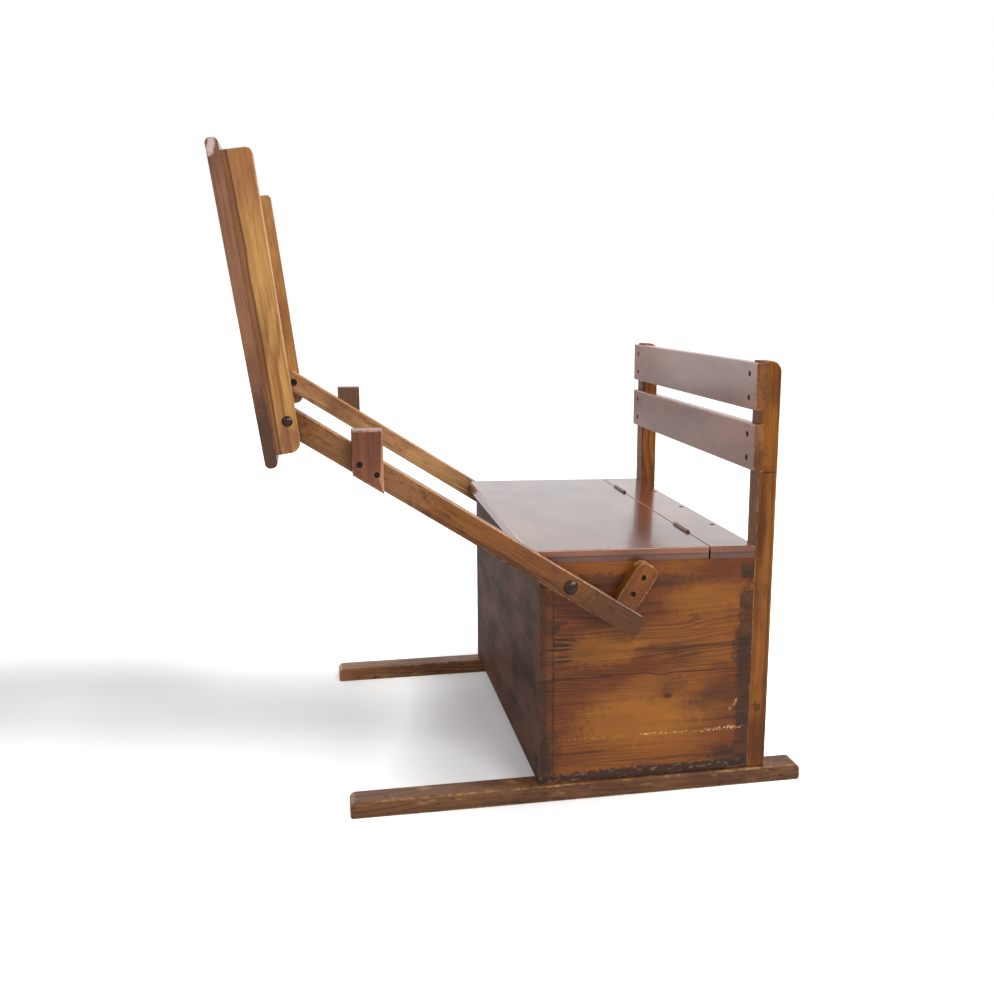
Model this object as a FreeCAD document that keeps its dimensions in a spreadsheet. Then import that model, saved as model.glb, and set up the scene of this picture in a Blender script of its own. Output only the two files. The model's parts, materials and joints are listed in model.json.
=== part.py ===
"""School seat and desk: a storage box seat on two runners, with a lift lid and a swinging desk top.

Frame: X across the seat, -Y towards the desk, +Y towards the backrest, +Z up, millimetres.
The origin is on the floor, below the centre of the bounding box.
Pieces in pairs are named right for +X and left for -X.
"""
import FreeCAD, Part
import Sketcher
import os
import re

doc = FreeCAD.newDocument("SchoolSeatDesk")
sheet = doc.addObject("Spreadsheet::Sheet", "Sizes")

# ---------------------------------------------------------------- driving sizes
SIZES = [
    # box seat
    ("boxWide", 502, "outside width over the two side panels"),
    ("boxDeep", 281, "front to rear over the front and back panels"),
    ("panelRear", 286.3, "height of the side panels at the rear"),
    ("seatFall", 1.2, "degrees the seat falls towards the rear"),
    ("sideThick", 18, "side panels"),
    ("frontThick", 18, "front panel"),
    ("backThick", 18, "back panel"),
    ("floorThick", 12, "bottom board"),
    ("fingerHigh", 20, "height of one finger of the corner joints"),
    ("fingerCount", 7, "pins in one corner joint"),
    ("originBack", 5.907, "the origin lies this far in front of the box front"),
    # runners
    ("runnerHigh", 22, "runner section, height"),
    ("runnerWide", 33, "runner section, width"),
    ("runnerProud", 5, "runner beyond the side panel"),
    ("runnerFront", 240, "runner in front of the box"),
    ("runnerRear", 74, "runner behind the box"),
    ("runnerNose", 8, "rounding of the upper end edges"),
    ("runnerEase", 3, "rounding of the lower end edges"),
    # seat
    ("seatThick", 16, "lid and rear strip"),
    ("seatGap", 0.3, "air below the closed lid"),
    ("lidInset", 0.5, "lid edge inside the side panel's outer face"),
    ("lidOverhang", 11.5, "lid beyond the box front"),
    ("lidCorner", 6, "rounding of the lid's front corners"),
    ("boardBevel", 1, "flat along the sharp edges of a board"),
    ("hingeBack", 61, "joint line to the rear of the box"),
    ("jointGap", 2, "gap between lid and strip"),
    # butt hinges
    ("hingeSpread", 145, "hinge centre to the middle of the seat"),
    ("hingeLong", 52, "hinge along the joint"),
    ("barrelRise", 1, "pin axis above the seat face"),
    ("barrelRound", 5, "barrel diameter"),
    ("pinRound", 2.2, "hinge pin diameter"),
    ("runClear", 0.06, "radial running clearance"),
    ("leafThick", 0.8, "hinge leaf"),
    ("leafHigh", 13, "hinge leaf in the joint"),
    ("knuckleGap", 0.3, "air between knuckles"),
    ("barrelRoom", 0.6, "air round the barrel in the boards"),
    # posts and rails
    ("postHigh", 535, "post above the runner"),
    ("postWide", 27, "post across the seat"),
    ("postDeep", 25, "post front to rear"),
    ("postRound", 14, "rounded rear top corner"),
    ("railThick", 13, "back rails"),
    ("railHousing", 5.5, "depth the rails are let into the posts"),
    ("railHigh", 59, "back rail height"),
    ("railSplit", 17, "gap between the two rails"),
    ("railDrop", 2.5, "post top above the upper rail"),
    # arms
    ("armPivotBack", 35, "arm pivot behind the box front"),
    ("armPivotHigh", 288, "arm pivot above the floor"),
    ("armSlope", 33, "degrees from level, at rest on the cleats"),
    ("armLong", 393.5, "pivot to pivot"),
    ("armTail", 109, "pivot to the end of the tail"),
    ("armWide", 29.5, "arm section, height"),
    ("armThick", 18, "arm section, thickness"),
    ("armGap", 1.5, "arm clear of the side panel"),
    ("armBevel", 1.6, "flat along the sharp edges of an arm"),
    ("tailRound", 11, "rounded end of the tail"),
    ("stopGap", 0.3, "air at the stops and seats of moving pieces"),
    # stop cleats
    ("cleatBack", 59.5, "along the tail from the pivot to the cleat"),
    ("cleatWide", 30, "cleat along the arm"),
    ("cleatLong", 59, "cleat away from the arm"),
    ("cleatThick", 18, "cleat off the side panel"),
    ("cleatRound", 12.5, "rounded upper end"),
    ("cleatScrewLow", 17, "lower screw from the cleat's lower end"),
    ("cleatScrewHigh", 41, "upper screw from the cleat's lower end"),
    # desk top
    ("deskAngle", 7.6, "degrees the raised desk leans away from the seat"),
    ("deskRoom", 3.6, "board clear of the arm's edge line at the pivot"),
    ("boardThick", 14, "desk board"),
    ("boardBelow", 49, "board below the desk pivot when raised"),
    ("boardAbove", 306, "board above the desk pivot when raised"),
    ("boardOver", 4, "board beyond the cheeks"),
    ("boardNose", 6, "rounded edges of the desk board"),
    ("cheekThick", 17, "desk cheeks"),
    ("cheekGap", 0.8, "cheek clear of the arm"),
    ("cheekBelow", 36, "cheek below the desk pivot when raised"),
    ("cheekAbove", 293, "cheek above the desk pivot when raised"),
    ("cheekEdge", 10.4, "desk pivot to the cheek's free edge"),
    ("cheekTaper", 0.8, "degrees the cheek widens upwards"),
    ("cheekHeel", 12, "rounded lower corner of the cheek"),
    ("cheekToe", 7, "rounded upper corner of the cheek"),
    # rest blocks
    ("restStart", 70, "desk pivot to the rest block, level"),
    ("restWide", 35, "rest block, level"),
    ("restThick", 24, "rest block off the arm"),
    ("restEase", 2, "eased edges of the rest block"),
    ("restScrewInset", 8, "rest screw from the block's side"),
    # bolts and screws
    ("boltRound", 8, "arm bolt shank"),
    ("boltHead", 18, "arm bolt domed head"),
    ("boltDome", 5.5, "height of the arm bolt's head"),
    ("boltTail", 2, "bolt end beyond its nut"),
    ("nutFlats", 13, "arm bolt nut across its flats"),
    ("nutThick", 6.5, "arm bolt nut"),
    ("washerRound", 22, "washers on the arm bolt"),
    ("washerAir", 0.2, "air beside the washer"),
    ("deskBoltRound", 6, "desk bolt shank"),
    ("deskBoltHead", 12, "desk bolt domed head"),
    ("deskBoltDome", 4, "height of the desk bolt's head"),
    ("deskNutFlats", 10, "desk bolt nut across its flats"),
    ("deskNutThick", 5, "desk bolt nut"),
    ("fitClear", 0.1, "radial clearance of bolts and screws that stay put"),
    ("screwHead", 7, "wood screw head diameter"),
    ("screwDeep", 2, "depth of a screw head in its countersink"),
    ("slotWide", 1, "driver slot of a wood screw"),
    ("slotDeep", 0.8, "depth of the driver slot"),
    ("railScrewIn", 23, "rail screw from the rail's end"),
    ("railScrewOff", 15, "rail screw above or below the rail's middle"),
    ("stripScrewGap", 125, "spacing of the screws in the rear strip"),
    ("deskScrewGap", 130, "spacing of the screws in the desk board"),
]
NAMES = {name for name, _, _ in SIZES}
for row, (name, value, note) in enumerate(SIZES, start=1):
    sheet.set(f"A{row}", name)
    sheet.set(f"B{row}", str(value))
    sheet.set(f"C{row}", note)
    sheet.setAlias(f"B{row}", name)
doc.recompute()


def bound(text):
    """Write an expression with its plain names pointed at the sheet."""
    return re.sub(r"[A-Za-z]+", lambda m: "Sizes." + m[0] if m[0] in NAMES else m[0], str(text))


def value(text):
    """The present value of an expression."""
    result = sheet.evalExpression(bound(text))
    return float(getattr(result, "Value", result))


# ---------------------------------------------------------------- derived places
HINGE_Y = "(boxDeep - hingeBack)"
SIDE_TOP_REAR = "(runnerHigh + panelRear)"
HINGE_Z = (f"({SIDE_TOP_REAR} + hingeBack * tan(seatFall)"
           " + (seatThick + barrelRise) / cos(seatFall))")
PANEL_FRONT = "(panelRear + boxDeep * tan(seatFall))"
ARM_X = "(boxWide / 2 + armGap)"
ARM_OUT = f"({ARM_X} + armThick)"
CHEEK_X = f"({ARM_OUT} + cheekGap)"
CHEEK_OUT = f"({CHEEK_X} + cheekThick)"
PIVOT_Y = "(armPivotBack)"
DESK_Y = "(armPivotBack - armLong * cos(armSlope))"
DESK_Z = "(armPivotHigh + armLong * sin(armSlope))"
DESK_REACH = "(armWide / 2 + deskRoom)"
RAIL_TOP = "(runnerHigh + postHigh - railDrop)"
RAIL_MIDDLES = {
    "upper": f"({RAIL_TOP} - railHigh / 2)",
    "lower": f"({RAIL_TOP} - railHigh * 3 / 2 - railSplit)",
}
SIDES = {"right": 1, "left": -1}

HEAD_SIDES = 12
WASHER_SIDES = 24
DOME_BANDS = 2

PLANES = {"x": "YZ_Plane", "y": "XZ_Plane", "z": "XY_Plane"}
FORWARD = {"x": 1, "y": -1, "z": 1}


# ---------------------------------------------------------------- modelling helpers
def new_body(label, x=0, y=0, z=0, tilt=0, turned=False):
    """A body at x, y, z (y counted from the box front), tilted about X or turned end for end about Z."""
    body = doc.addObject("PartDesign::Body", label)
    body.Label = label
    body.AllowCompound = True
    axis = FreeCAD.Vector(0, 0, 1) if turned else FreeCAD.Vector(1, 0, 0)
    body.Placement = FreeCAD.Placement(FreeCAD.Vector(), FreeCAD.Rotation(axis, 1))
    body.setExpression("Placement.Base.x", bound(x))
    body.setExpression("Placement.Base.y", bound(f"{y} + originBack"))
    body.setExpression("Placement.Base.z", bound(z))
    body.setExpression("Placement.Rotation.Angle", bound(180 if turned else tilt))
    return body


def new_sketch(body, axis, start):
    """A sketch square to an axis of the body, at start along it."""
    sketch = body.newObject("Sketcher::SketchObject", f"{body.Name}_sketch")
    plane = next(f for f in body.Origin.OriginFeatures if f.Role == PLANES[axis])
    sketch.AttachmentSupport = (plane, [""])
    sketch.MapMode = "FlatFace"
    sketch.setExpression("AttachmentOffset.Base.z", bound(f"({start}) * {FORWARD[axis]}"))
    return sketch


def pin_point(sketch, geometry, end, place):
    """Hold one sketch point at a place given by two expressions."""
    for kind, text in zip(("DistanceX", "DistanceY"), place):
        index = sketch.addConstraint(Sketcher.Constraint(kind, -1, 1, geometry, end, value(text)))
        sketch.setExpression(f"Constraints[{index}]", bound(text))


def draw_outline(sketch, places):
    """A closed outline of straight edges through the given places."""
    spots = [FreeCAD.Vector(value(u), value(v), 0) for u, v in places]
    first = sketch.GeometryCount
    count = len(spots)
    for i in range(count):
        sketch.addGeometry(Part.LineSegment(spots[i], spots[(i + 1) % count]), False)
    for i in range(count):
        following = first + (i + 1) % count
        sketch.addConstraint(Sketcher.Constraint("Coincident", first + i, 2, following, 1))
        pin_point(sketch, first + i, 1, places[i])


def draw_circle(sketch, place, diameter):
    """A circle with its centre at a place."""
    centre = FreeCAD.Vector(value(place[0]), value(place[1]), 0)
    circle = Part.Circle(centre, FreeCAD.Vector(0, 0, 1), value(diameter) / 2)
    geometry = sketch.addGeometry(circle, False)
    pin_point(sketch, geometry, 3, place)
    index = sketch.addConstraint(Sketcher.Constraint("Diameter", geometry, value(diameter)))
    sketch.setExpression(f"Constraints[{index}]", bound(diameter))


def rectangle(u, v, wide, high):
    """Four places of a rectangle from its low corner."""
    return [(u, v), (f"{u} + {wide}", v), (f"{u} + {wide}", f"{v} + {high}"), (u, f"{v} + {high}")]


def centred(u, v, wide, high):
    """Four places of a rectangle about its middle."""
    return rectangle(f"{u} - ({wide}) / 2", f"{v} - ({high}) / 2", wide, high)


def many_sided(place, across, count):
    """Places of a regular polygon whose corners lie on a circle."""
    u, v = place
    turns = [360 * k / count for k in range(count)]
    return [(f"{u} + ({across}) / 2 * cos({turn})", f"{v} + ({across}) / 2 * sin({turn})") for turn in turns]


def sweep(kind, body, axis, start, length, outlines, circles):
    """Pad or pocket along +axis of the body, from start, over length."""
    sketch = new_sketch(body, axis, start)
    for outline in outlines:
        draw_outline(sketch, outline)
    for place, diameter in circles:
        draw_circle(sketch, place, diameter)
    feature = body.newObject(f"PartDesign::{kind}", f"{body.Name}_{kind.lower()}")
    feature.Profile = sketch
    feature.Reversed = (FORWARD[axis] < 0) == (kind == "Pad")
    feature.setExpression("Length", bound(length))
    doc.recompute()
    return feature


def pad(body, axis, start, length, outlines=(), circles=()):
    """Add material along +axis of the body."""
    return sweep("Pad", body, axis, start, length, outlines, circles)


def cut(body, axis, start, length, outlines=(), circles=()):
    """Remove material along +axis of the body, and make sure that it went."""
    before = body.Shape.Volume
    feature = sweep("Pocket", body, axis, start, length, outlines, circles)
    if body.Shape.Volume > before - 1e-6:
        raise RuntimeError(f"{feature.Name} removes nothing")
    return feature


def repeat(body, feature, spacing, count):
    """Repeat a feature up the body's Z axis."""
    pattern = body.newObject("PartDesign::LinearPattern", f"{body.Name}_pattern")
    pattern.Originals = [feature]
    upright = next(f for f in body.Origin.OriginFeatures if f.Role == "Z_Axis")
    pattern.Direction = (upright, [""])
    pattern.Mode = "Spacing"
    pattern.setExpression("Offset", bound(spacing))
    pattern.setExpression("Occurrences", bound(count))
    body.Tip = pattern
    doc.recompute()
    return pattern


def straight_edges(body, chosen):
    """Names of the straight edges that chosen(middle, direction) picks, in the body's own frame."""
    names = []
    for number, edge in enumerate(body.Tip.Shape.Edges, start=1):
        if edge.Curve.TypeId != "Part::GeomLine":
            continue
        if chosen(edge.CenterOfMass, edge.tangentAt(edge.FirstParameter)):
            names.append(f"Edge{number}")
    return names


def ease(body, radius, chosen):
    """Round the chosen edges."""
    base = body.Tip
    names = straight_edges(body, chosen)
    fillet = body.newObject("PartDesign::Fillet", f"{body.Name}_fillet")
    fillet.Base = (base, names)
    fillet.setExpression("Radius", bound(radius))
    doc.recompute()
    return fillet


def bevel(body, size, chosen):
    """Take the chosen sharp edges off with a narrow flat."""
    base = body.Tip
    names = straight_edges(body, chosen)
    chamfer = body.newObject("PartDesign::Chamfer", f"{body.Name}_chamfer")
    chamfer.Base = (base, names)
    chamfer.setExpression("Size", bound(size))
    doc.recompute()
    return chamfer


def near(number, text):
    """True where a number equals the present value of an expression."""
    return abs(number - value(text)) < 0.01


def along(direction, axis):
    """True where a direction runs along the named axis."""
    return abs(abs(getattr(direction, axis)) - 1) < 1e-6


# ---------------------------------------------------------------- runners
def make_runner(side, sign):
    """A sled runner with its nose and heel rounded."""
    body = new_body(f"runner_{side}", x=f"{sign} * (boxWide / 2 + runnerProud - runnerWide / 2)")
    rear = "boxDeep + runnerRear"
    length = f"{rear} + runnerFront"
    pad(body, "x", "-runnerWide / 2", "runnerWide", [rectangle("-runnerFront", "0", length, "runnerHigh")])
    ends = ("-runnerFront", rear)
    ease(body, "runnerNose", lambda at, way: along(way, "x") and near(at.z, "runnerHigh"))
    ease(body, "runnerEase",
         lambda at, way: along(way, "x") and near(at.z, "0") and any(near(at.y, e) for e in ends))


# ---------------------------------------------------------------- box
FINGER_FIRST = "fingerHigh"
FINGER_STEP = "2 * fingerHigh"


def make_side(side, sign):
    """A side panel with finger slots at both ends and a hole for the arm bolt."""
    low = "boxWide / 2 - sideThick" if sign > 0 else "-boxWide / 2"
    body = new_body(f"box_side_{side}", z="runnerHigh")
    outline = [("0", "0"), ("boxDeep", "0"), ("boxDeep", "panelRear"), ("0", PANEL_FRONT)]
    pad(body, "x", low, "sideThick", [outline])
    for start, wide in (("0", "frontThick"), ("boxDeep - backThick", "backThick")):
        slot = cut(body, "x", low, "sideThick", [rectangle(start, FINGER_FIRST, wide, "fingerHigh")])
        repeat(body, slot, FINGER_STEP, "fingerCount")
    hole = ((PIVOT_Y, "armPivotHigh - runnerHigh"), "boltRound + 2 * fitClear")
    cut(body, "x", low, "sideThick", circles=[hole])


def make_end_panel(label, start, thick, high):
    """The front or back panel with pins that pass through the side panels."""
    body = new_body(label, z="runnerHigh")
    inside = "boxWide / 2 - sideThick"
    pad(body, "y", start, thick, [centred("0", f"{high} / 2", f"2 * ({inside})", high)])
    pins = [rectangle(inside, FINGER_FIRST, "sideThick", "fingerHigh"),
            rectangle("-boxWide / 2", FINGER_FIRST, "sideThick", "fingerHigh")]
    pin = pad(body, "y", start, thick, pins)
    repeat(body, pin, FINGER_STEP, "fingerCount")
    return body


def make_box():
    """Two sides, the front, the back and the bottom board."""
    for side, sign in SIDES.items():
        make_side(side, sign)
    make_end_panel("box_front", "0", "frontThick", f"({PANEL_FRONT} - frontThick * tan(seatFall))")
    make_end_panel("box_back", "boxDeep - backThick", "backThick", "panelRear")
    floor = new_body("box_floor", z="runnerHigh")
    wide = "boxWide - 2 * sideThick"
    deep = "boxDeep - frontThick - backThick"
    pad(floor, "z", "0", "floorThick", [centred("0", f"frontThick + ({deep}) / 2", wide, deep)])


# ---------------------------------------------------------------- seat
def hinge_spans():
    """Low ends of the two hinges along X."""
    return ["hingeSpread - hingeLong / 2", "-hingeSpread - hingeLong / 2"]


def barrel_notches(body, toward_rear):
    """Room for the hinge barrels in the edge of a seat board."""
    reach = "barrelRound / 2 + barrelRoom"
    low = f"-({reach})"
    for start in hinge_spans():
        begin = f"{start} - barrelRoom"
        wide = "hingeLong + 2 * barrelRoom"
        edge = "jointGap / 2" if toward_rear else f"-({reach})"
        deep = f"{reach} - jointGap / 2"
        cut(body, "x", begin, wide, [rectangle(edge, low, deep, reach)])


def make_seat():
    """The rear strip, fixed to the box, and the lid that lifts."""
    strip = new_body("seat_strip", y=HINGE_Y, z=HINGE_Z, tilt="-seatFall")
    under = "-(barrelRise + seatThick)"
    deep = "hingeBack - jointGap / 2"
    pad(strip, "x", "-boxWide / 2", "boxWide", [rectangle("jointGap / 2", under, deep, "seatThick")])
    barrel_notches(strip, True)
    places = [(f"{step} * stripScrewGap", "hingeBack - backThick / 2") for step in (-1, 0, 1)]
    sunk = "-(barrelRise + screwDeep)"
    cut(strip, "z", sunk, "screwDeep", countersinks(places))
    placing = {"y": HINGE_Y, "z": HINGE_Z, "tilt": "-seatFall"}
    make_screws("seat_strip_screws", "z", sunk, places, placing, True)
    lid = new_body("seat_lid", y=HINGE_Y, z=HINGE_Z, tilt="-seatFall")
    front = "-(boxDeep - hingeBack + lidOverhang)"
    pad(lid, "x", "lidInset - boxWide / 2", "boxWide - 2 * lidInset",
        [rectangle(front, f"{under} + seatGap", f"-jointGap / 2 - ({front})", "seatThick - seatGap")])
    ease(lid, "lidCorner", lambda at, way: along(way, "z") and near(at.y, front))
    bevel(lid, "boardBevel", lambda at, way: near(at.z, "-barrelRise") and not near(at.y, "-jointGap / 2"))
    barrel_notches(lid, False)


# ---------------------------------------------------------------- hinges
def make_leaf(label, sign):
    """Hinge leaves of both hinges: plates in the joint and their knuckles on the pin."""
    body = new_body(label, y=HINGE_Y, z=HINGE_Z, tilt="-seatFall")
    face = "jointGap / 2 - leafThick" if sign > 0 else "-jointGap / 2"
    top = "-(barrelRound / 2 + knuckleGap)"
    plates = [rectangle(start, f"{top} - leafHigh", "hingeLong", "leafHigh") for start in hinge_spans()]
    pad(body, "y", face, "leafThick", plates)
    knuckle = "(hingeLong - 2 * knuckleGap) / 3"
    shares = (0, 2) if sign > 0 else (1,)
    for start in hinge_spans():
        for share in shares:
            begin = f"{start} + {share} * ({knuckle} + knuckleGap)"
            neck = rectangle(face, top, "leafThick", "barrelRound / 2 + knuckleGap")
            pad(body, "x", begin, knuckle, [neck])
            pad(body, "x", begin, knuckle, circles=[(("0", "0"), "barrelRound")])
    bore = [(("0", "0"), "pinRound + 2 * runClear")]
    cut(body, "x", "-boxWide / 2", "boxWide", circles=bore)


def make_pins():
    """The two hinge pins."""
    body = new_body("hinge_pins", y=HINGE_Y, z=HINGE_Z, tilt="-seatFall")
    for start in hinge_spans():
        pad(body, "x", start, "hingeLong", circles=[(("0", "0"), "pinRound")])


# ---------------------------------------------------------------- back
def make_post(side, sign):
    """A rear post standing on its runner, housed for the two rails."""
    low = "boxWide / 2 - postWide" if sign > 0 else "-boxWide / 2"
    body = new_body(f"post_{side}", y="boxDeep", z="runnerHigh")
    pad(body, "x", low, "postWide", [rectangle("0", "0", "postDeep", "postHigh")])
    ease(body, "postRound",
         lambda at, way: along(way, "x") and near(at.z, "postHigh") and near(at.y, "postDeep"))
    bevel(body, "boardBevel", lambda at, way: along(way, "z") and near(at.y, "postDeep"))
    housings = [centred("railHousing / 2", f"{middle} - runnerHigh", "railHousing", "railHigh")
                for middle in RAIL_MIDDLES.values()]
    cut(body, "x", low, "postWide", housings)


def rail_screw_places(middle):
    """Four screw places on one rail, across and up."""
    return [(f"{sx} * (boxWide / 2 - railScrewIn)", f"{middle} + {sz} * railScrewOff")
            for sx in (1, -1) for sz in (1, -1)]


def make_rails():
    """Two back rails let into the posts, countersunk for their screws."""
    face = "boxDeep + railHousing - railThick"
    for name, middle in RAIL_MIDDLES.items():
        body = new_body(f"back_rail_{name}")
        pad(body, "y", face, "railThick", [centred("0", middle, "boxWide", "railHigh")])
        bevel(body, "boardBevel", lambda at, way: near(at.y, face))
        cut(body, "y", face, "screwDeep", countersinks(rail_screw_places(middle)))
    places = [place for middle in RAIL_MIDDLES.values() for place in rail_screw_places(middle)]
    make_screws("back_rail_screws", "y", face, places, {})


def countersinks(places):
    """Outlines of the recesses that take the screw heads."""
    return [many_sided(place, "screwHead + 2 * fitClear", HEAD_SIDES) for place in places]


def make_screws(label, axis, start, places, placing, down=False):
    """Slotted wood screw heads, flush in their countersinks, as one group."""
    body = new_body(label, **placing)
    pad(body, axis, start, "screwDeep", [many_sided(place, "screwHead", HEAD_SIDES) for place in places])
    slots = [centred(u, v, "screwHead + slotWide", "slotWide") for u, v in places]
    outer = f"{start} + screwDeep - slotDeep" if down else start
    cut(body, axis, outer, "slotDeep", slots)
    return body


# ---------------------------------------------------------------- arms
def arm_frame():
    """Placement of the arm's own frame: +y along the tail, +z square to the arm."""
    return {"y": PIVOT_Y, "z": "armPivotHigh", "tilt": "-armSlope"}


def make_arm(side, sign):
    """A swinging arm: rounded tail, end cut to bear on the raised desk board."""
    low = ARM_X if sign > 0 else f"-{ARM_OUT}"
    body = new_body(f"arm_{side}", **arm_frame())
    half = "armWide / 2"
    reach = f"({DESK_REACH} - stopGap)"
    turn = "(armSlope + deskAngle)"
    foot = f"(({half} - {reach} * sin{turn}) / cos{turn})"
    outline = [
        ("armTail", f"-{half}"),
        ("armTail", half),
        (f"-armLong - sqrt({reach} ^ 2 - ({half}) ^ 2)", half),
        (f"-armLong - {reach} * cos{turn}", f"-{reach} * sin{turn}"),
        (f"-armLong - {reach} * cos{turn} + {foot} * sin{turn}", f"-{half}"),
    ]
    pad(body, "x", low, "armThick", [outline])
    ease(body, "tailRound", lambda at, way: along(way, "x") and near(at.y, "armTail"))
    bevel(body, "armBevel",
          lambda at, way: along(way, "y") and (near(at.z, half) or near(at.z, f"-{half}")))
    holes = [(("0", "0"), "boltRound + 2 * runClear"), (("-armLong", "0"), "deskBoltRound + 2 * fitClear")]
    cut(body, "x", low, "armThick", circles=holes)


def make_cleat(side, sign):
    """A stop cleat on the side panel, its lower end along the arm's upper edge."""
    low = "boxWide / 2" if sign > 0 else "-boxWide / 2 - cleatThick"
    body = new_body(f"stop_cleat_{side}", **arm_frame())
    outline = rectangle("cleatBack", "armWide / 2 + stopGap", "cleatWide", "cleatLong")
    pad(body, "x", low, "cleatThick", [outline])
    top = "armWide / 2 + stopGap + cleatLong"
    ease(body, "cleatRound", lambda at, way: along(way, "x") and near(at.z, top))
    outer = "boxWide / 2 + cleatThick" if sign > 0 else low
    bevel(body, "boardBevel", lambda at, way: near(at.x, outer) and along(way, "z"))
    face = "boxWide / 2 + cleatThick - screwDeep" if sign > 0 else "-boxWide / 2 - cleatThick"
    cut(body, "x", face, "screwDeep", countersinks(cleat_screw_places()))
    make_screws(f"stop_cleat_screws_{side}", "x", face, cleat_screw_places(), arm_frame(), sign > 0)


def cleat_screw_places():
    """Two screws on the cleat's middle line."""
    middle = "cleatBack + cleatWide / 2"
    return [(middle, f"armWide / 2 + stopGap + {off}") for off in ("cleatScrewLow", "cleatScrewHigh")]


def rest_under(place):
    """Height of the arm's lower edge below the desk pivot, at a level distance from it."""
    return f"-({place}) * tan(armSlope) - armWide / 2 / cos(armSlope)"


def rest_upper(place):
    """Height of the lowered cheek's edge above the rest block, at a level distance."""
    return f"-cheekEdge - ({place}) * tan(cheekTaper) - stopGap"


def rest_screw_places():
    """Two screws in the rest block, on the arm's middle line."""
    places = ("restStart + restScrewInset", "restStart + restWide - restScrewInset")
    return [(place, f"-({place}) * tan(armSlope)") for place in places]


def make_rest(side, sign):
    """A rest block on the arm's outer face, level on top where the lowered desk sits."""
    low = ARM_OUT if sign > 0 else f"-{ARM_OUT} - restThick"
    placing = {"y": DESK_Y, "z": DESK_Z}
    body = new_body(f"rest_block_{side}", **placing)
    first, last = "restStart", "restStart + restWide"
    outline = [(first, rest_under(first)), (last, rest_under(last)),
               (last, rest_upper(last)), (first, rest_upper(first))]
    pad(body, "x", low, "restThick", [outline])
    outer = f"{ARM_OUT} + restThick" if sign > 0 else low
    ease(body, "restEase", lambda at, way: near(at.x, outer))
    face = f"{outer} - screwDeep" if sign > 0 else outer
    cut(body, "x", face, "screwDeep", countersinks(rest_screw_places()))
    make_screws(f"rest_block_screws_{side}", "x", face, rest_screw_places(), placing, sign > 0)


# ---------------------------------------------------------------- desk top
def desk_frame():
    """Placement of the desk's own frame: +z up the raised desk, +y towards the seat."""
    return {"y": DESK_Y, "z": DESK_Z, "tilt": "deskAngle"}


def make_cheek(side, sign):
    """A desk cheek outside the arm, tapered, with rounded corners."""
    low = CHEEK_X if sign > 0 else f"-{CHEEK_OUT}"
    body = new_body(f"desk_cheek_{side}", **desk_frame())
    board = f"-{DESK_REACH}"
    outline = [
        (board, "-cheekBelow"),
        ("cheekEdge - cheekBelow * tan(cheekTaper)", "-cheekBelow"),
        ("cheekEdge + cheekAbove * tan(cheekTaper)", "cheekAbove"),
        (board, "cheekAbove"),
    ]
    pad(body, "x", low, "cheekThick", [outline])
    ease(body, "cheekHeel", lambda at, way: along(way, "x") and near(at.z, "-cheekBelow") and at.y > 0)
    ease(body, "cheekToe", lambda at, way: along(way, "x") and near(at.z, "cheekAbove") and at.y > 0)
    outer = CHEEK_OUT if sign > 0 else f"-{CHEEK_OUT}"
    bevel(body, "boardBevel", lambda at, way: near(at.x, outer) and way.y ** 2 < way.z ** 2 and at.y > 0)
    cut(body, "x", low, "cheekThick", circles=[(("0", "0"), "deskBoltRound + 2 * runClear")])


def desk_screw_places():
    """Three screws over each cheek, across and up the board."""
    middle = "(boardAbove - boardBelow) / 2"
    return [(f"{sign} * ({CHEEK_X} + cheekThick / 2)", f"{middle} + {step} * deskScrewGap")
            for sign in (1, -1) for step in (-1, 0, 1)]


def make_board():
    """The desk board with rounded edges, screwed to the cheeks from its writing face."""
    body = new_body("desk_board", **desk_frame())
    half = f"({CHEEK_OUT} + boardOver)"
    face = f"-{DESK_REACH} - boardThick"
    pad(body, "y", face, "boardThick",
        [rectangle(f"-{half}", "-boardBelow", f"2 * {half}", "boardBelow + boardAbove")])
    ease(body, "boardNose", lambda at, way: along(way, "x"))
    cut(body, "y", face, "screwDeep", countersinks(desk_screw_places()))
    make_screws("desk_board_screws", "y", face, desk_screw_places(), desk_frame())


# ---------------------------------------------------------------- bolts
def make_bolt(label, sign, seat, tail, shank, head, high, places):
    """A bolt turned about X, from its tail end to a domed head that seats at seat."""
    body = new_body(label, turned=sign < 0, **places)
    ball = f"((({head}) ^ 2 / 4 + ({high}) ^ 2) / (2 * ({high})))"
    spread = f"asin(({head}) / 2 / {ball})"
    centre = f"{seat} + {high} - {ball}"
    profile = [(tail, "0"), (tail, f"{shank} / 2"), (seat, f"{shank} / 2")]
    for band in range(DOME_BANDS, 0, -1):
        angle = f"({spread} * {band} / {DOME_BANDS})"
        profile.append((f"{centre} + {ball} * cos{angle}", f"{ball} * sin{angle}"))
    profile.append((f"{seat} + {high}", "0"))
    sketch = new_sketch(body, "y", "0")
    draw_outline(sketch, profile)
    turned = body.newObject("PartDesign::Revolution", f"{label}_turned")
    turned.Profile = sketch
    turned.ReferenceAxis = (sketch, ["H_Axis"])
    turned.Angle = 360
    doc.recompute()


def make_nut(label, sign, start, thick, flats, bore, places):
    """A hexagon nut on its bolt."""
    body = new_body(label, turned=sign < 0, **places)
    pad(body, "x", start, thick, [many_sided(("0", "0"), f"({flats}) / cos(30)", 6)])
    cut(body, "x", start, thick, circles=[(("0", "0"), f"{bore} + 2 * fitClear")])


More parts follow.
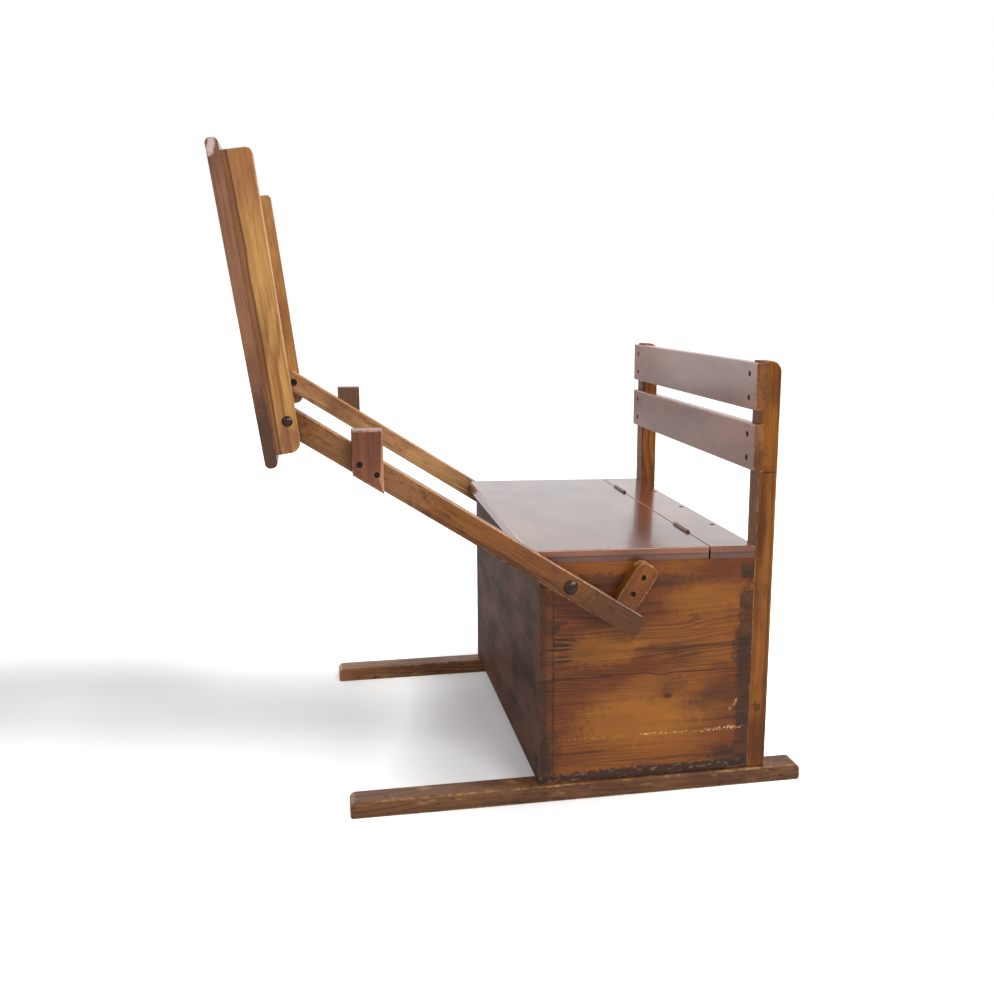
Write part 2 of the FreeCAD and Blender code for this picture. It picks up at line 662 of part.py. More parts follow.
def make_bolts():
    """Pivot bolts of the arms and of the desk, with their nuts and washers."""
    inside = "boxWide / 2 - sideThick"
    for side, sign in SIDES.items():
        at_arm = {"y": PIVOT_Y, "z": "armPivotHigh"}
        at_desk = {"y": DESK_Y, "z": DESK_Z}
        make_bolt(f"arm_bolt_{side}", sign, f"({ARM_OUT} + washerAir)", f"{inside} - nutThick - boltTail",
                  "boltRound", "boltHead", "boltDome", at_arm)
        make_nut(f"arm_bolt_nut_{side}", sign, f"{inside} - nutThick", "nutThick", "nutFlats",
                 "boltRound", at_arm)
        washer = new_body(f"arm_washer_{side}", turned=sign < 0, **at_arm)
        pad(washer, "x", "boxWide / 2", "armGap - washerAir",
            [many_sided(("0", "0"), "washerRound", WASHER_SIDES)])
        cut(washer, "x", "boxWide / 2", "armGap", circles=[(("0", "0"), "boltRound + 2 * fitClear")])
        make_bolt(f"desk_bolt_{side}", sign, f"({CHEEK_OUT} + washerAir)",
                  f"{ARM_X} - deskNutThick - boltTail",
                  "deskBoltRound", "deskBoltHead", "deskBoltDome", at_desk)
        make_nut(f"desk_bolt_nut_{side}", sign, f"{ARM_X} - deskNutThick", "deskNutThick", "deskNutFlats",
                 "deskBoltRound", at_desk)


# ---------------------------------------------------------------- whole object
for side_name, side_sign in SIDES.items():
    make_runner(side_name, side_sign)
make_box()
make_seat()
make_leaf("hinge_leaves_strip", 1)
make_leaf("hinge_leaves_lid", -1)
make_pins()
for side_name, side_sign in SIDES.items():
    make_post(side_name, side_sign)
    make_arm(side_name, side_sign)
    make_cleat(side_name, side_sign)
    make_rest(side_name, side_sign)
    make_cheek(side_name, side_sign)
make_rails()
make_board()
make_bolts()
doc.recompute()

# ---------------------------------------------------------------- test and write
bad = [item.Name for item in doc.Objects if {"Invalid", "Error"} & set(item.State)]
if bad:
    raise RuntimeError(f"failed objects: {bad}")
bodies = [item for item in doc.Objects if item.TypeId == "PartDesign::Body"]
for item in bodies:
    if item.Shape.isNull() or not item.Shape.isValid() or not item.Shape.Solids:
        raise RuntimeError(f"bad shape: {item.Label}")
os.makedirs("parts", exist_ok=True)
for item in bodies:
    item.Shape.exportStep(f"parts/{item.Label}.step")
whole = FreeCAD.BoundBox()
for item in bodies:
    whole.add(item.Shape.BoundBox)
print(f"{len(bodies)} sub-parts, {sum(len(item.Shape.Solids) for item in bodies)} solids")
for axis in "XYZ":
    print(f"{axis} {getattr(whole, axis + 'Min'):.2f} to {getattr(whole, axis + 'Max'):.2f}")
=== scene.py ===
# %% [markdown]
# # A school seat with a lift lid and a swinging desk top
# The solids of this seat are ready in the frame. Here they get what makes them look like old
# varnished wood: softened edges, grain that runs along each board, and wear where hands and
# feet have been. Each board keeps its place, so that everything still turns on its joints.

# %% Load the frame
import json
import math

import bmesh
import bpy
from mathutils import Matrix, Vector

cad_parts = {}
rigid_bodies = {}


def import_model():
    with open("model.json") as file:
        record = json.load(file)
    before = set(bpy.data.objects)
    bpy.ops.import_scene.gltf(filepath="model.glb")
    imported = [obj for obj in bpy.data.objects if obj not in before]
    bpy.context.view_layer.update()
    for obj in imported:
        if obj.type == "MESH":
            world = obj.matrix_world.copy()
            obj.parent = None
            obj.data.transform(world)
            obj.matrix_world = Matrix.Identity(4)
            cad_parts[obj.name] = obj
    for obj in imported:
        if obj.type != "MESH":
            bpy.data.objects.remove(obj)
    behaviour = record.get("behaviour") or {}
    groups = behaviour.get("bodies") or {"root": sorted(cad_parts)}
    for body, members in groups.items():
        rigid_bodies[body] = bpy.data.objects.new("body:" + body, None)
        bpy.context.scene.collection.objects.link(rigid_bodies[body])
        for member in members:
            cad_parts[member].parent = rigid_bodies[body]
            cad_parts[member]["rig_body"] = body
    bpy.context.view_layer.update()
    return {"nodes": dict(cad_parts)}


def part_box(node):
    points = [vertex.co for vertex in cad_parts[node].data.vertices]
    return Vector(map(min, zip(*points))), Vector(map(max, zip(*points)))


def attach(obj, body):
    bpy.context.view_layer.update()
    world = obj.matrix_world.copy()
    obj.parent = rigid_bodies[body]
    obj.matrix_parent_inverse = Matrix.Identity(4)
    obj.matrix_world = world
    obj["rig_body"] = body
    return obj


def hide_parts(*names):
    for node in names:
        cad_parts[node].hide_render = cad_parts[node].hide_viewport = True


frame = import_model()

nodes = frame["nodes"]

# %% [markdown]
# The camera stands to the right of the seat and a little above it. A long lens would flatten
# the box, and a wide one would stretch the near runner, so the lens is set from the spread of
# the parallel edges.

# %% Camera
FRAME_WIDE = 994
CAMERA_PLACE = Vector((1.46829, -0.26040, 0.64083))
CAMERA_YAW = 0.1739
CAMERA_PITCH = -0.1929
CAMERA_ROLL = -0.0061
FOCAL_PIXELS = 1046.79


def in_scene(name, data):
    """A new object of the given data, linked to the scene."""
    thing = bpy.data.objects.new(name, data)
    bpy.context.scene.collection.objects.link(thing)
    return thing


def aim_camera():
    """A camera at its place, turned by yaw, pitch and roll."""
    data = bpy.data.cameras.new("camera")
    data.sensor_fit = "HORIZONTAL"
    data.lens = FOCAL_PIXELS * data.sensor_width / FRAME_WIDE
    camera = in_scene("camera", data)
    level = math.cos(CAMERA_PITCH)
    forward = Vector((-math.cos(CAMERA_YAW) * level, math.sin(CAMERA_YAW) * level, math.sin(CAMERA_PITCH)))
    right = forward.cross(Vector((0, 0, 1))).normalized()
    up = right.cross(forward)
    turned_right = right * math.cos(CAMERA_ROLL) + up * math.sin(CAMERA_ROLL)
    turned_up = up * math.cos(CAMERA_ROLL) - right * math.sin(CAMERA_ROLL)
    turn = Matrix((turned_right, turned_up, -forward)).transposed()
    camera.matrix_world = Matrix.Translation(CAMERA_PLACE) @ turn.to_4x4()
    return camera


bpy.context.scene.camera = aim_camera()
print("lens", round(bpy.context.scene.camera.data.lens, 2), "mm")

# %% [markdown]
# Every finish here is drawn by nodes, so a few short functions come first. One makes a node
# group, one adds a node and feeds its sockets, and the rest are built on them.

# %% Node helpers
def new_group(name, inputs, outputs, kind="ShaderNodeTree"):
    """A node group with its ends, and named sockets that are each given as (kind, name)."""
    tree = bpy.data.node_groups.new(name, kind)
    for way, sockets in (("INPUT", inputs), ("OUTPUT", outputs)):
        for sort, label in sockets:
            tree.interface.new_socket(label, in_out=way, socket_type=f"NodeSocket{sort}")
    return tree, tree.nodes.new("NodeGroupInput"), tree.nodes.new("NodeGroupOutput")


def feed(tree, socket, source):
    """Link a socket to another, or set it to a plain value."""
    if isinstance(source, bpy.types.NodeSocket):
        tree.links.new(source, socket)
    else:
        socket.default_value = source


def add_node(tree, kind, sources, **settings):
    """A new node with its settings made, then its sockets fed by name or number."""
    node = tree.nodes.new(kind)
    for label, setting in settings.items():
        setattr(node, label, setting)
    for label, source in sources.items():
        feed(tree, node.inputs[label], source)
    return node


def math_node(tree, operation, first, second=0.0):
    """One step of arithmetic."""
    return add_node(tree, "ShaderNodeMath", {0: first, 1: second}, operation=operation).outputs[0]


def times(tree, first, second):
    """The product of two values."""
    return math_node(tree, "MULTIPLY", first, second)


def plus(tree, first, second):
    """The sum of two values."""
    return math_node(tree, "ADD", first, second)


print("node helpers ready")

# %% [markdown]
# A pattern is noise that is stretched, cut to a range and used to lay one colour over another.
# Places are the piece's own lengths in metres.

# %% Patterns and colours
def own_place(tree):
    """The place of each point in the piece's own lengths."""
    return tree.nodes.new("ShaderNodeTexCoord").outputs["Object"]


def stretched(tree, vector, scale, place=(0, 0, 0), turn=(0, 0, 0)):
    """A vector moved, turned and scaled along its axes."""
    sources = {"Vector": vector, "Scale": scale, "Location": place, "Rotation": turn}
    return add_node(tree, "ShaderNodeMapping", sources).outputs[0]


def noise(tree, vector, scale, detail, rough):
    """Soft random values from 0 to 1."""
    sources = {"Vector": vector, "Scale": scale, "Detail": detail, "Roughness": rough}
    return add_node(tree, "ShaderNodeTexNoise", sources).outputs["Fac"]


def long_noise(tree, vector, stretch, detail, rough, place=(0, 0, 0), turn=(0, 0, 0)):
    """The same, changing faster along some axes than others."""
    return noise(tree, stretched(tree, vector, stretch, place, turn), 1.0, detail, rough)


def between(tree, amount, low, high, start=0.0, end=1.0):
    """A value moved from one range to another and kept inside it."""
    sources = {"Value": amount, "From Min": low, "From Max": high, "To Min": start, "To Max": end}
    return add_node(tree, "ShaderNodeMapRange", sources, interpolation_type="SMOOTHSTEP").outputs[0]


def blend_colours(tree, amount, first, second):
    """One colour laid over another."""
    sources = {"Factor": amount, "A": first, "B": second}
    return add_node(tree, "ShaderNodeMix", sources, data_type="RGBA").outputs["Result"]


def oval(tree, place, middle, half, turn=(0, 0, 0)):
    """Distance from a middle, counted in half lengths along turned axes.

    A half length of 0 leaves its axis out.
    """
    near = stretched(tree, place, (1, 1, 1), [-value for value in middle])
    level = stretched(tree, near, (1, 1, 1), turn=turn)
    counted = stretched(tree, level, [1 / value if value else 0 for value in half])
    return add_node(tree, "ShaderNodeVectorMath", {0: counted}, operation="LENGTH").outputs["Value"]


def distance_along(tree, place, direction):
    """How far a place lies along a direction."""
    sources = {0: place, 1: direction}
    return add_node(tree, "ShaderNodeVectorMath", sources, operation="DOT_PRODUCT").outputs["Value"]


def new_material(name):
    """A material with its node tree and its shader."""
    material = bpy.data.materials.new(name)
    material.use_nodes = True
    tree = material.node_tree
    return material, tree, tree.nodes["Principled BSDF"]


print("pattern helpers ready")

# %% [markdown]
# The floor is pale paper. To the camera it glows up to white, apart from two ovals that hold
# the glow back: one where the shadow of the desk falls and one round the box.

# %% Floor
FLOOR_HALF = 30.0
FLOOR_CORNERS = ((-1, -1), (1, -1), (1, 1), (-1, 1))
FLOOR_SHADE = 0.92
FLOOR_ROUGH = 0.9
SHADOWS = {
    "of the desk": dict(middle=(-0.2, -0.62, 0), half=(0.045, 0.11, 0), turn=0.34, edge=11.0, glow=0.0),
    "of the box": dict(middle=(0.06, 0.04, 0), half=(0.17, 0.1, 0), turn=0.0, edge=4.0, glow=0.1),
}


def paper_glow(tree):
    """Little glow in an oval where each shadow lies, and full glow away from them."""
    place = own_place(tree)
    glow = 1.0
    for shade in SHADOWS.values():
        away = oval(tree, place, shade["middle"], shade["half"], (0, 0, shade["turn"]))
        lit = between(tree, away, 1.0, shade["edge"], shade["glow"], 1.0)
        glow = math_node(tree, "MINIMUM", lit, glow)
    return glow


def make_floor():
    """A flat pale floor that keeps the shadow and is white to the camera elsewhere."""
    mesh = bpy.data.meshes.new("floor")
    mesh.from_pydata([(x * FLOOR_HALF, y * FLOOR_HALF, 0) for x, y in FLOOR_CORNERS], [], [(0, 1, 2, 3)])
    floor = in_scene("floor", mesh)
    paper, tree, shader = new_material("floor_paper")
    shader.inputs["Base Color"].default_value = (FLOOR_SHADE, FLOOR_SHADE, FLOOR_SHADE, 1)
    shader.inputs["Roughness"].default_value = FLOOR_ROUGH
    shader.inputs["Specular IOR Level"].default_value = 0.0
    glow = add_node(tree, "ShaderNodeEmission", {"Strength": paper_glow(tree)})
    both = add_node(tree, "ShaderNodeAddShader", {0: shader.outputs[0], 1: glow.outputs[0]})
    seen = tree.nodes.new("ShaderNodeLightPath").outputs["Is Camera Ray"]
    choice = add_node(tree, "ShaderNodeMixShader", {0: seen, 1: shader.outputs[0], 2: both.outputs[0]})
    tree.links.new(choice.outputs[0], tree.nodes["Material Output"].inputs["Surface"])
    mesh.materials.append(paper)


make_floor()
print("shadows", len(SHADOWS))

# %% [markdown]
# A studio for varnish needs large soft lamps, because each lamp shows as a reflection in the
# gloss. The main lamp hangs high behind the backrest, so the shadow falls forward, under the
# desk. The others are weaker and fill in from the side, the front and the far side.

# %% Lamps and world
LAMPS = {
    "lamp_high": ((0.5, 2.3, 2.3), 1.7, 80.0),
    "lamp_side": ((1.9, 0.5, 2.2), 0.7, 27.0),
    "lamp_front": ((0.2, -3.2, 1.5), 2.4, 24.0),
    "lamp_far": ((-3.0, -1.9, 1.3), 2.4, 24.0),
}
LAMP_AIM = Vector((0.0, 0.0, 0.3))
WORLD_ON_WOOD = 0.3


def make_lamps():
    """Square soft lamps, each aimed at the middle of the seat."""
    for name, (place, size, power) in LAMPS.items():
        data = bpy.data.lights.new(name, "AREA")
        data.size = size
        data.energy = power
        lamp = in_scene(name, data)
        lamp.location = place
        lamp.rotation_euler = (LAMP_AIM - Vector(place)).to_track_quat("-Z", "Y").to_euler()


def make_world():
    """White where the camera and reflections look, softer as light on the wood."""
    world = bpy.data.worlds.new("studio")
    bpy.context.scene.world = world
    world.use_nodes = True
    tree = world.node_tree
    background = tree.nodes["Background"]
    background.inputs["Color"].default_value = (1, 1, 1, 1)
    seen = tree.nodes.new("ShaderNodeLightPath").outputs
    either = math_node(tree, "MAXIMUM", seen["Is Camera Ray"], seen["Is Glossy Ray"])
    strength = add_node(tree, "ShaderNodeMapRange", {"Value": either, "To Min": WORLD_ON_WOOD, "To Max": 1.0})
    tree.links.new(strength.outputs[0], background.inputs["Strength"])
    bpy.context.scene.view_settings.view_transform = "Standard"


make_lamps()
make_world()
print("lamps", len(LAMPS))

# %% [markdown]
# Wood is made of growth rings, which a saw cuts into long lines. A ring has a pale wide part
# and a dark narrow part, so each line fades in slowly and ends sharply. The rings wander a
# little along the board, and fine fibres run between them. One node group draws all this, and
# every board places it with its own colours, direction and offset.
#
# A layer of noise is given as (how fast it changes along the board, across it and through it),
# detail and roughness. A range is given as from, to, and what those become if not 0 and 1.

# %% Grain group
GRAIN_NOISE = {
    "drift": ((2.2, 9.0, 9.0), 3.0, 0.5),
    "crowd": ((1.6, 34.0, 34.0), 2.0, 0.5),
    "fibre": ((18.0, 1100.0, 1100.0), 2.0, 0.65),
    "streak": ((3.5, 120.0, 120.0), 3.0, 0.6),
    "mottle": ((7.0, 18.0, 18.0), 4.0, 0.6),
    "presence": ((3.0, 11.0, 11.0), 2.0, 0.5),
}
RING_DARKENS = (0.1, 0.8)
RING_ENDS = (0.86, 1.0, 1.0, 0.0)
RINGS_SHOW = (0.4, 0.66, 0.08)
WARM_PLACES = (0.36, 0.64)
STREAK_PLACES = (0.5, 0.78)
FIBRE_PLACES = (0.45, 0.75, 0.0, 0.7)
RING_SLANT = 0.6
DRIFT_RINGS = 16.0
CROWD_RINGS = 7.0
HEIGHT_SHARE = 0.5


def make_grain_group():
    """Growth rings and fibres along X of the given vector, in metres."""
    tree, given, result = new_group(
        "board_grain",
        [("Vector", "Vector"), ("Color", "Pale"), ("Color", "Warm"), ("Color", "Dark"), ("Float", "Rings"),
         ("Float", "Wander"), ("Float", "Contrast")],
        [("Color", "Color"), ("Float", "Height"), ("Float", "Mottle")])
    look = given.outputs
    layer = {name: long_noise(tree, look["Vector"], *shape) for name, shape in GRAIN_NOISE.items()}
    across = add_node(tree, "ShaderNodeSeparateXYZ", {0: look["Vector"]}).outputs
    slanted = plus(tree, across["Z"], times(tree, across["Y"], RING_SLANT))
    count = times(tree, slanted, look["Rings"])
    bend = plus(tree, times(tree, layer["drift"], DRIFT_RINGS), times(tree, layer["crowd"], CROWD_RINGS))
    moved = times(tree, bend, look["Wander"])
    ring = math_node(tree, "FRACT", plus(tree, count, moved))
    late = times(tree, between(tree, ring, *RING_DARKENS), between(tree, ring, *RING_ENDS))
    weight = times(tree, times(tree, late, look["Contrast"]), between(tree, layer["presence"], *RINGS_SHOW))
    base = blend_colours(tree, between(tree, layer["mottle"], *WARM_PLACES), look["Pale"], look["Warm"])
    lined = blend_colours(tree, weight, base, look["Dark"])
    shade = times(tree, between(tree, layer["streak"], *STREAK_PLACES), look["Contrast"])
    streaked = blend_colours(tree, shade, lined, look["Dark"])
    thread = times(tree, between(tree, layer["fibre"], *FIBRE_PLACES), look["Contrast"])
    fibred = blend_colours(tree, thread, streaked, look["Dark"])
    height = plus(tree, times(tree, weight, HEIGHT_SHARE), times(tree, layer["fibre"], HEIGHT_SHARE))
    feed(tree, result.inputs["Color"], fibred)
    feed(tree, result.inputs["Height"], height)
    feed(tree, result.inputs["Mottle"], layer["mottle"])
    return tree


GRAIN = make_grain_group()
print("group", GRAIN.name)

# %% [markdown]
# Varnish wears through first on the edges, and old dirt stays in the low places. The mesh marks
# its rounded edges with an attribute, and this group breaks that mark up with noise, so that
# the wear looks handled and not drawn. It adds a few short scratches too.

# %% Wear group
HANDLED_NOISE = (17.0, 3.0, 0.6)
RUBBED_NOISE = (190.0, 4.0, 0.7)
STAIN_NOISE = (9.0, 5.0, 0.62)
SCRATCH_AREAS = (15.0, 2.0, 0.5)
SCRATCH_NOISE = dict(stretch=(7.0, 340.0, 340.0), detail=1.0, rough=0.4, turn=(0.1, 0.2, 0.15))
WORN_PLACES = (0.2, 0.36)
STAIN_PLACES = (0.5, 0.78)
SCRATCH_LINES = (0.7, 0.76)
SCRATCH_PLACES = (0.52, 0.68)
STAIN_BROWN = (0.035, 0.016, 0.01, 1)
STAIN_DULLS = 0.5


def make_wear_group():
    """Worn edges, dark patches and scratches over a colour."""
    tree, given, result = new_group(
        "varnish_wear",
        [("Vector", "Vector"), ("Color", "Color"), ("Color", "Bare"), ("Float", "Edge"), ("Float", "Wear"),
         ("Float", "Dirt"), ("Float", "Scratches")],
        [("Color", "Color"), ("Float", "Dull")])
    look = given.outputs
    place = look["Vector"]
    broken = times(tree, noise(tree, place, *HANDLED_NOISE), noise(tree, place, *RUBBED_NOISE))
    rub = times(tree, times(tree, look["Edge"], between(tree, broken, *WORN_PLACES)), look["Wear"])
    stain = times(tree, between(tree, noise(tree, place, *STAIN_NOISE), *STAIN_PLACES), look["Dirt"])
    line = between(tree, long_noise(tree, place, **SCRATCH_NOISE), *SCRATCH_LINES)
    where = between(tree, noise(tree, place, *SCRATCH_AREAS), *SCRATCH_PLACES)
    mark = times(tree, times(tree, line, where), look["Scratches"])
    stained = blend_colours(tree, stain, look["Color"], STAIN_BROWN)
    scratched = blend_colours(tree, mark, stained, look["Bare"])
    rubbed = blend_colours(tree, rub, scratched, look["Bare"])
    marred = math_node(tree, "MAXIMUM", mark, times(tree, stain, STAIN_DULLS))
    feed(tree, result.inputs["Color"], rubbed)
    feed(tree, result.inputs["Dull"], math_node(tree, "MAXIMUM", rub, marred))
    return tree


WEAR = make_wear_group()
print("group", WEAR.name)

# %% [markdown]
# A finish is a set of colours and amounts. Pale and warm are the two tones of the wood, dark is
# its lines and bare is the wood without varnish. Rings are counted per metre.

# %% Wood finishes
def linear(red, green, blue):
    """A colour from screen values of 0 to 255."""
    return tuple(((c / 255) / 12.92 if c <= 10 else (((c / 255) + 0.055) / 1.055) ** 2.4)
                 for c in (red, green, blue)) + (1.0,)


FINISHES = {
    "box_wood": dict(
        pale=linear(146, 83, 26), warm=linear(112, 55, 21), dark=linear(40, 20, 11),
        bare=linear(196, 146, 92), rings=215.0, wander=1.0, contrast=0.6, gloss=0.34, coat=0.1,
        wear=0.4, dirt=0.7, scratches=0.3, shine=0.2),
    "seat_wood": dict(
        pale=linear(130, 72, 50), warm=linear(98, 46, 32), dark=linear(52, 24, 18),
        bare=linear(176, 124, 96), rings=90.0, wander=0.6, contrast=0.35, gloss=0.2, coat=0.7,
        wear=0.5, dirt=0.35, scratches=0.25, shine=0.5),
    "runner_wood": dict(
        pale=linear(126, 82, 46), warm=linear(96, 56, 32), dark=linear(40, 24, 15),
        bare=linear(176, 132, 88), rings=150.0, wander=0.5, contrast=0.5, gloss=0.42, coat=0.05,
        wear=0.7, dirt=0.8, scratches=0.4, shine=0.25),
    "red_wood": dict(
        pale=linear(158, 92, 66), warm=linear(126, 66, 48), dark=linear(58, 28, 22),
        bare=linear(196, 142, 108), rings=120.0, wander=0.5, contrast=0.14, gloss=0.28, coat=0.46,
        wear=0.7, dirt=0.2, scratches=0.1, shine=0.45),
    "desk_wood": dict(
        pale=linear(132, 84, 62), warm=linear(96, 54, 42), dark=linear(50, 26, 20),
        bare=linear(204, 166, 142), rings=110.0, wander=0.5, contrast=0.35, gloss=0.28, coat=0.4,
        wear=0.5, dirt=0.35, scratches=0.4, shine=0.35),
    "golden_wood": dict(
        pale=linear(150, 94, 38), warm=linear(116, 66, 28), dark=linear(48, 26, 15),
        bare=linear(198, 152, 98), rings=150.0, wander=0.5, contrast=0.5, gloss=0.34, coat=0.15,
        wear=0.8, dirt=0.6, scratches=0.4, shine=0.2),
}
print("finishes", sorted(FINISHES))

# %% [markdown]
# These looks start from a finish and change what differs: boards that saw other use, sawn
# ends, which take the varnish differently, and the far arm and far runner, which are made paler
# as painted light on faces that lie in the shade of the box.

# %% Looks of single boards
GOLDEN, BOX, RED = FINISHES["golden_wood"], FINISHES["box_wood"], FINISHES["red_wood"]
POST = dict(
    GOLDEN, pale=linear(154, 95, 36), warm=linear(120, 65, 27), contrast=0.6, coat=0.0, shine=0.15)
# painted light: the far arm is paler to stand in for light on its inner face, which lies in shade
FAR_ARM_PAINTED_LIGHTER = dict(GOLDEN, pale=linear(204, 152, 98), warm=linear(170, 118, 78), contrast=0.7)
NEAR_ARM = dict(
    GOLDEN, pale=linear(142, 86, 36), warm=linear(106, 58, 26), contrast=0.8, dirt=0.85, wear=0.5)
CHEEK = dict(
    GOLDEN, pale=linear(208, 154, 88), warm=linear(168, 112, 66), dark=linear(112, 62, 32),
    contrast=0.75, dirt=0.35, coat=0.25)
CLEAT = dict(GOLDEN, pale=linear(138, 80, 32), warm=linear(104, 54, 24), coat=0.05)
REST_BLOCK = dict(
    RED, pale=linear(142, 84, 56), warm=linear(108, 60, 40), contrast=0.3, rings=70.0, dirt=0.8,
    coat=0.1, shine=0.35)
FAR_BLOCK = dict(RED, pale=linear(136, 96, 68), warm=linear(104, 70, 50), contrast=0.4, coat=0.2)
# painted light: the far runner is paler to stand in for light on its face, which lies in the shade of the box
FAR_RUNNER_PAINTED_LIGHTER = dict(FINISHES["runner_wood"], pale=linear(170, 118, 76), warm=linear(138, 88, 56), dirt=0.5)
FRONT_PANEL = dict(
    BOX, pale=linear(90, 58, 46), warm=linear(50, 30, 23), dark=linear(26, 16, 13), contrast=0.4,
    gloss=0.52, coat=0.0, dirt=0.5, shine=0.05)
FRONT_PINS = dict(BOX, pale=linear(116, 62, 30), warm=linear(88, 45, 24), contrast=0.4, dirt=0.8)
BACK_PINS = dict(BOX, pale=linear(98, 56, 28), warm=linear(62, 35, 20), contrast=0.3, dirt=1.0)
SIDE_PINS = dict(FRONT_PANEL, pale=linear(96, 54, 30), warm=linear(68, 38, 23))
RAIL_END = dict(GOLDEN, pale=linear(140, 90, 44), warm=linear(106, 59, 29), contrast=0.85, rings=260.0)
UPPER_END = dict(RAIL_END, pale=linear(176, 116, 60), warm=linear(138, 82, 42))
DESK_EDGE = dict(
    FINISHES["desk_wood"], pale=linear(154, 104, 72), warm=linear(116, 72, 48), contrast=0.5,
    scratches=0.9, rings=130.0, coat=0.2)
SEAT_EDGE = dict(
    FINISHES["seat_wood"], pale=linear(150, 90, 62), warm=linear(118, 62, 42), contrast=0.25, coat=0.3)
print("look of the posts", sorted(POST))

# %% [markdown]
# A material joins the two groups to one shader. The roughness is low on sound varnish and high
# where it has worn away, and the grain stands up a hair from the surface.

# %% Wood material
ALONG = {"x": (0, 0, 0), "y": (0, 0, -math.pi / 2), "z": (0, math.pi / 2, 0)}
OFFSET_SHARES = (1, 0.37, 0.61)
COAT_ROUGH = 0.12
MOTTLE_ROUGH = 0.14
WORN_ROUGH = 0.35
BUMP_STRENGTH = 0.22
BUMP_HEIGHT = 0.0006


def run_group(tree, group, sources):
    """The outputs of a node group fed by name."""
    return add_node(tree, "ShaderNodeGroup", sources, node_tree=group).outputs


def wood(name, look, way, tilt, offset, marks, edge=None):
    """A varnished wood with grain along an axis, tilted by degrees about X, and marks laid over it.

    Its edges are worn where the mesh says so, or all over by the same amount.
    """
    material, tree, shader = new_material(name)
    place = own_place(tree)
    level = stretched(tree, place, (1, 1, 1), turn=(-math.radians(tilt), 0, 0))
    board = stretched(tree, level, (1, 1, 1), [offset * share for share in OFFSET_SHARES], ALONG[way])
    grain = run_group(tree, GRAIN, {
        "Vector": board, "Pale": look["pale"], "Warm": look["warm"], "Dark": look["dark"],
        "Rings": look["rings"], "Wander": look["wander"], "Contrast": look["contrast"]})
    if edge is None:
        edge = add_node(tree, "ShaderNodeAttribute", {}, attribute_name="edge").outputs["Fac"]
    wear = run_group(tree, WEAR, {
        "Vector": board, "Color": grain["Color"], "Bare": look["bare"], "Edge": edge, "Wear": look["wear"],
        "Dirt": look["dirt"], "Scratches": look["scratches"]})
    colour = marks(tree, place, wear["Color"]) if marks else wear["Color"]
    tree.links.new(colour, shader.inputs["Base Color"])
    shader.inputs["Coat Weight"].default_value = look["coat"]
    shader.inputs["Specular IOR Level"].default_value = look["shine"]
    shader.inputs["Coat Roughness"].default_value = COAT_ROUGH
    smooth = plus(tree, times(tree, grain["Mottle"], MOTTLE_ROUGH), look["gloss"] - MOTTLE_ROUGH / 2)
    rough = plus(tree, smooth, times(tree, wear["Dull"], WORN_ROUGH))
    tree.links.new(rough, shader.inputs["Roughness"])
    bump = add_node(tree, "ShaderNodeBump", {
        "Strength": BUMP_STRENGTH, "Distance": BUMP_HEIGHT, "Height": grain["Height"]})
    tree.links.new(bump.outputs[0], shader.inputs["Normal"])
    return material


print("wood ready")

# %% [markdown]
# Each side of the box is glued up from two boards, and the joint has opened into a thin dark
# line that rises and falls with the grain. Dirt has gathered along the bottom and behind the
# post, a knot sits near the middle, and a chair or a boot has left a pale scrape. A dark band
# under the edge of the lid is painted shadow of the lid's overhang, kept with the stains. These
# marks have a place on the panel, so they are given in its own lengths and not at random. Each
# is a middle and half lengths in Y and Z, and can have a slope and how ragged and soft its rim is.

# %% Places of marks on the side panels
OLD_DIRT = {
    "along the bottom": dict(middle=(0.16, 0.0285), half=(0.19, 0.0085), depth=0.88),
    "bottom rear corner": dict(middle=(0.262, 0.04), half=(0.026, 0.014), ragged=1.0, depth=0.6, soft=0.8),
    "front corner": dict(middle=(0.0095, 0.13), half=(0.005, 0.17), ragged=1.0, depth=0.5, soft=0.9),
    "front foot": dict(middle=(0.0125, 0.05), half=(0.007, 0.04), ragged=1.0, depth=0.6, soft=0.9),
    "joint line": dict(middle=(0.0239, 0.16), half=(0.0012, 0.15), ragged=1.0, depth=0.65),
    "behind the post": dict(middle=(0.279, 0.15), half=(0.012, 0.14), ragged=0.8, depth=0.7),
}
STAINS_AND_SHADOW = {
    "upper rear": dict(middle=(0.272, 0.19), half=(0.012, 0.03), depth=0.55),
    "knot": dict(middle=(0.1755, 0.131), half=(0.006, 0.004), depth=0.75),
    "round the knot": dict(middle=(0.184, 0.144), half=(0.02, 0.011), slope=0.5, depth=0.35),
    "front edge": dict(middle=(0.012, 0.19), half=(0.012, 0.09), depth=0.35),
    # painted shadow: this band stands for the shade under the overhang of the lid
    "painted shadow under the lid": dict(middle=(0.12, 0.287), half=(0.11, 0.01), slope=-0.05, depth=0.5),
    "low front": dict(middle=(0.02, 0.06), half=(0.014, 0.04), depth=0.35),
}
SUNNY = {
    "low middle": dict(middle=(0.139, 0.1), half=(0.06, 0.024), depth=0.4, soft=1.1),
    "upper front": dict(middle=(0.084, 0.198), half=(0.04, 0.016), depth=0.3, soft=1.1),
    "upper rear": dict(middle=(0.215, 0.256), half=(0.035, 0.016), depth=0.3, soft=1.1),
}
CRACKED_GRAIN = {
    "first": dict(middle=(0.035, 0.186), half=(0.014, 0.0019), slope=0.05, ragged=0.6, depth=0.85),
    "second": dict(middle=(0.036, 0.192), half=(0.011, 0.0013), slope=-0.04, ragged=0.6, depth=0.7),
    "third": dict(middle=(0.034, 0.2015), half=(0.016, 0.0016), slope=0.02, ragged=0.6, depth=0.85),
    "fourth": dict(middle=(0.033, 0.2075), half=(0.016, 0.002), slope=-0.05, ragged=0.6, depth=0.9),
    "fifth": dict(middle=(0.036, 0.2145), half=(0.02, 0.0015), slope=-0.12, ragged=0.6, depth=0.7),
}
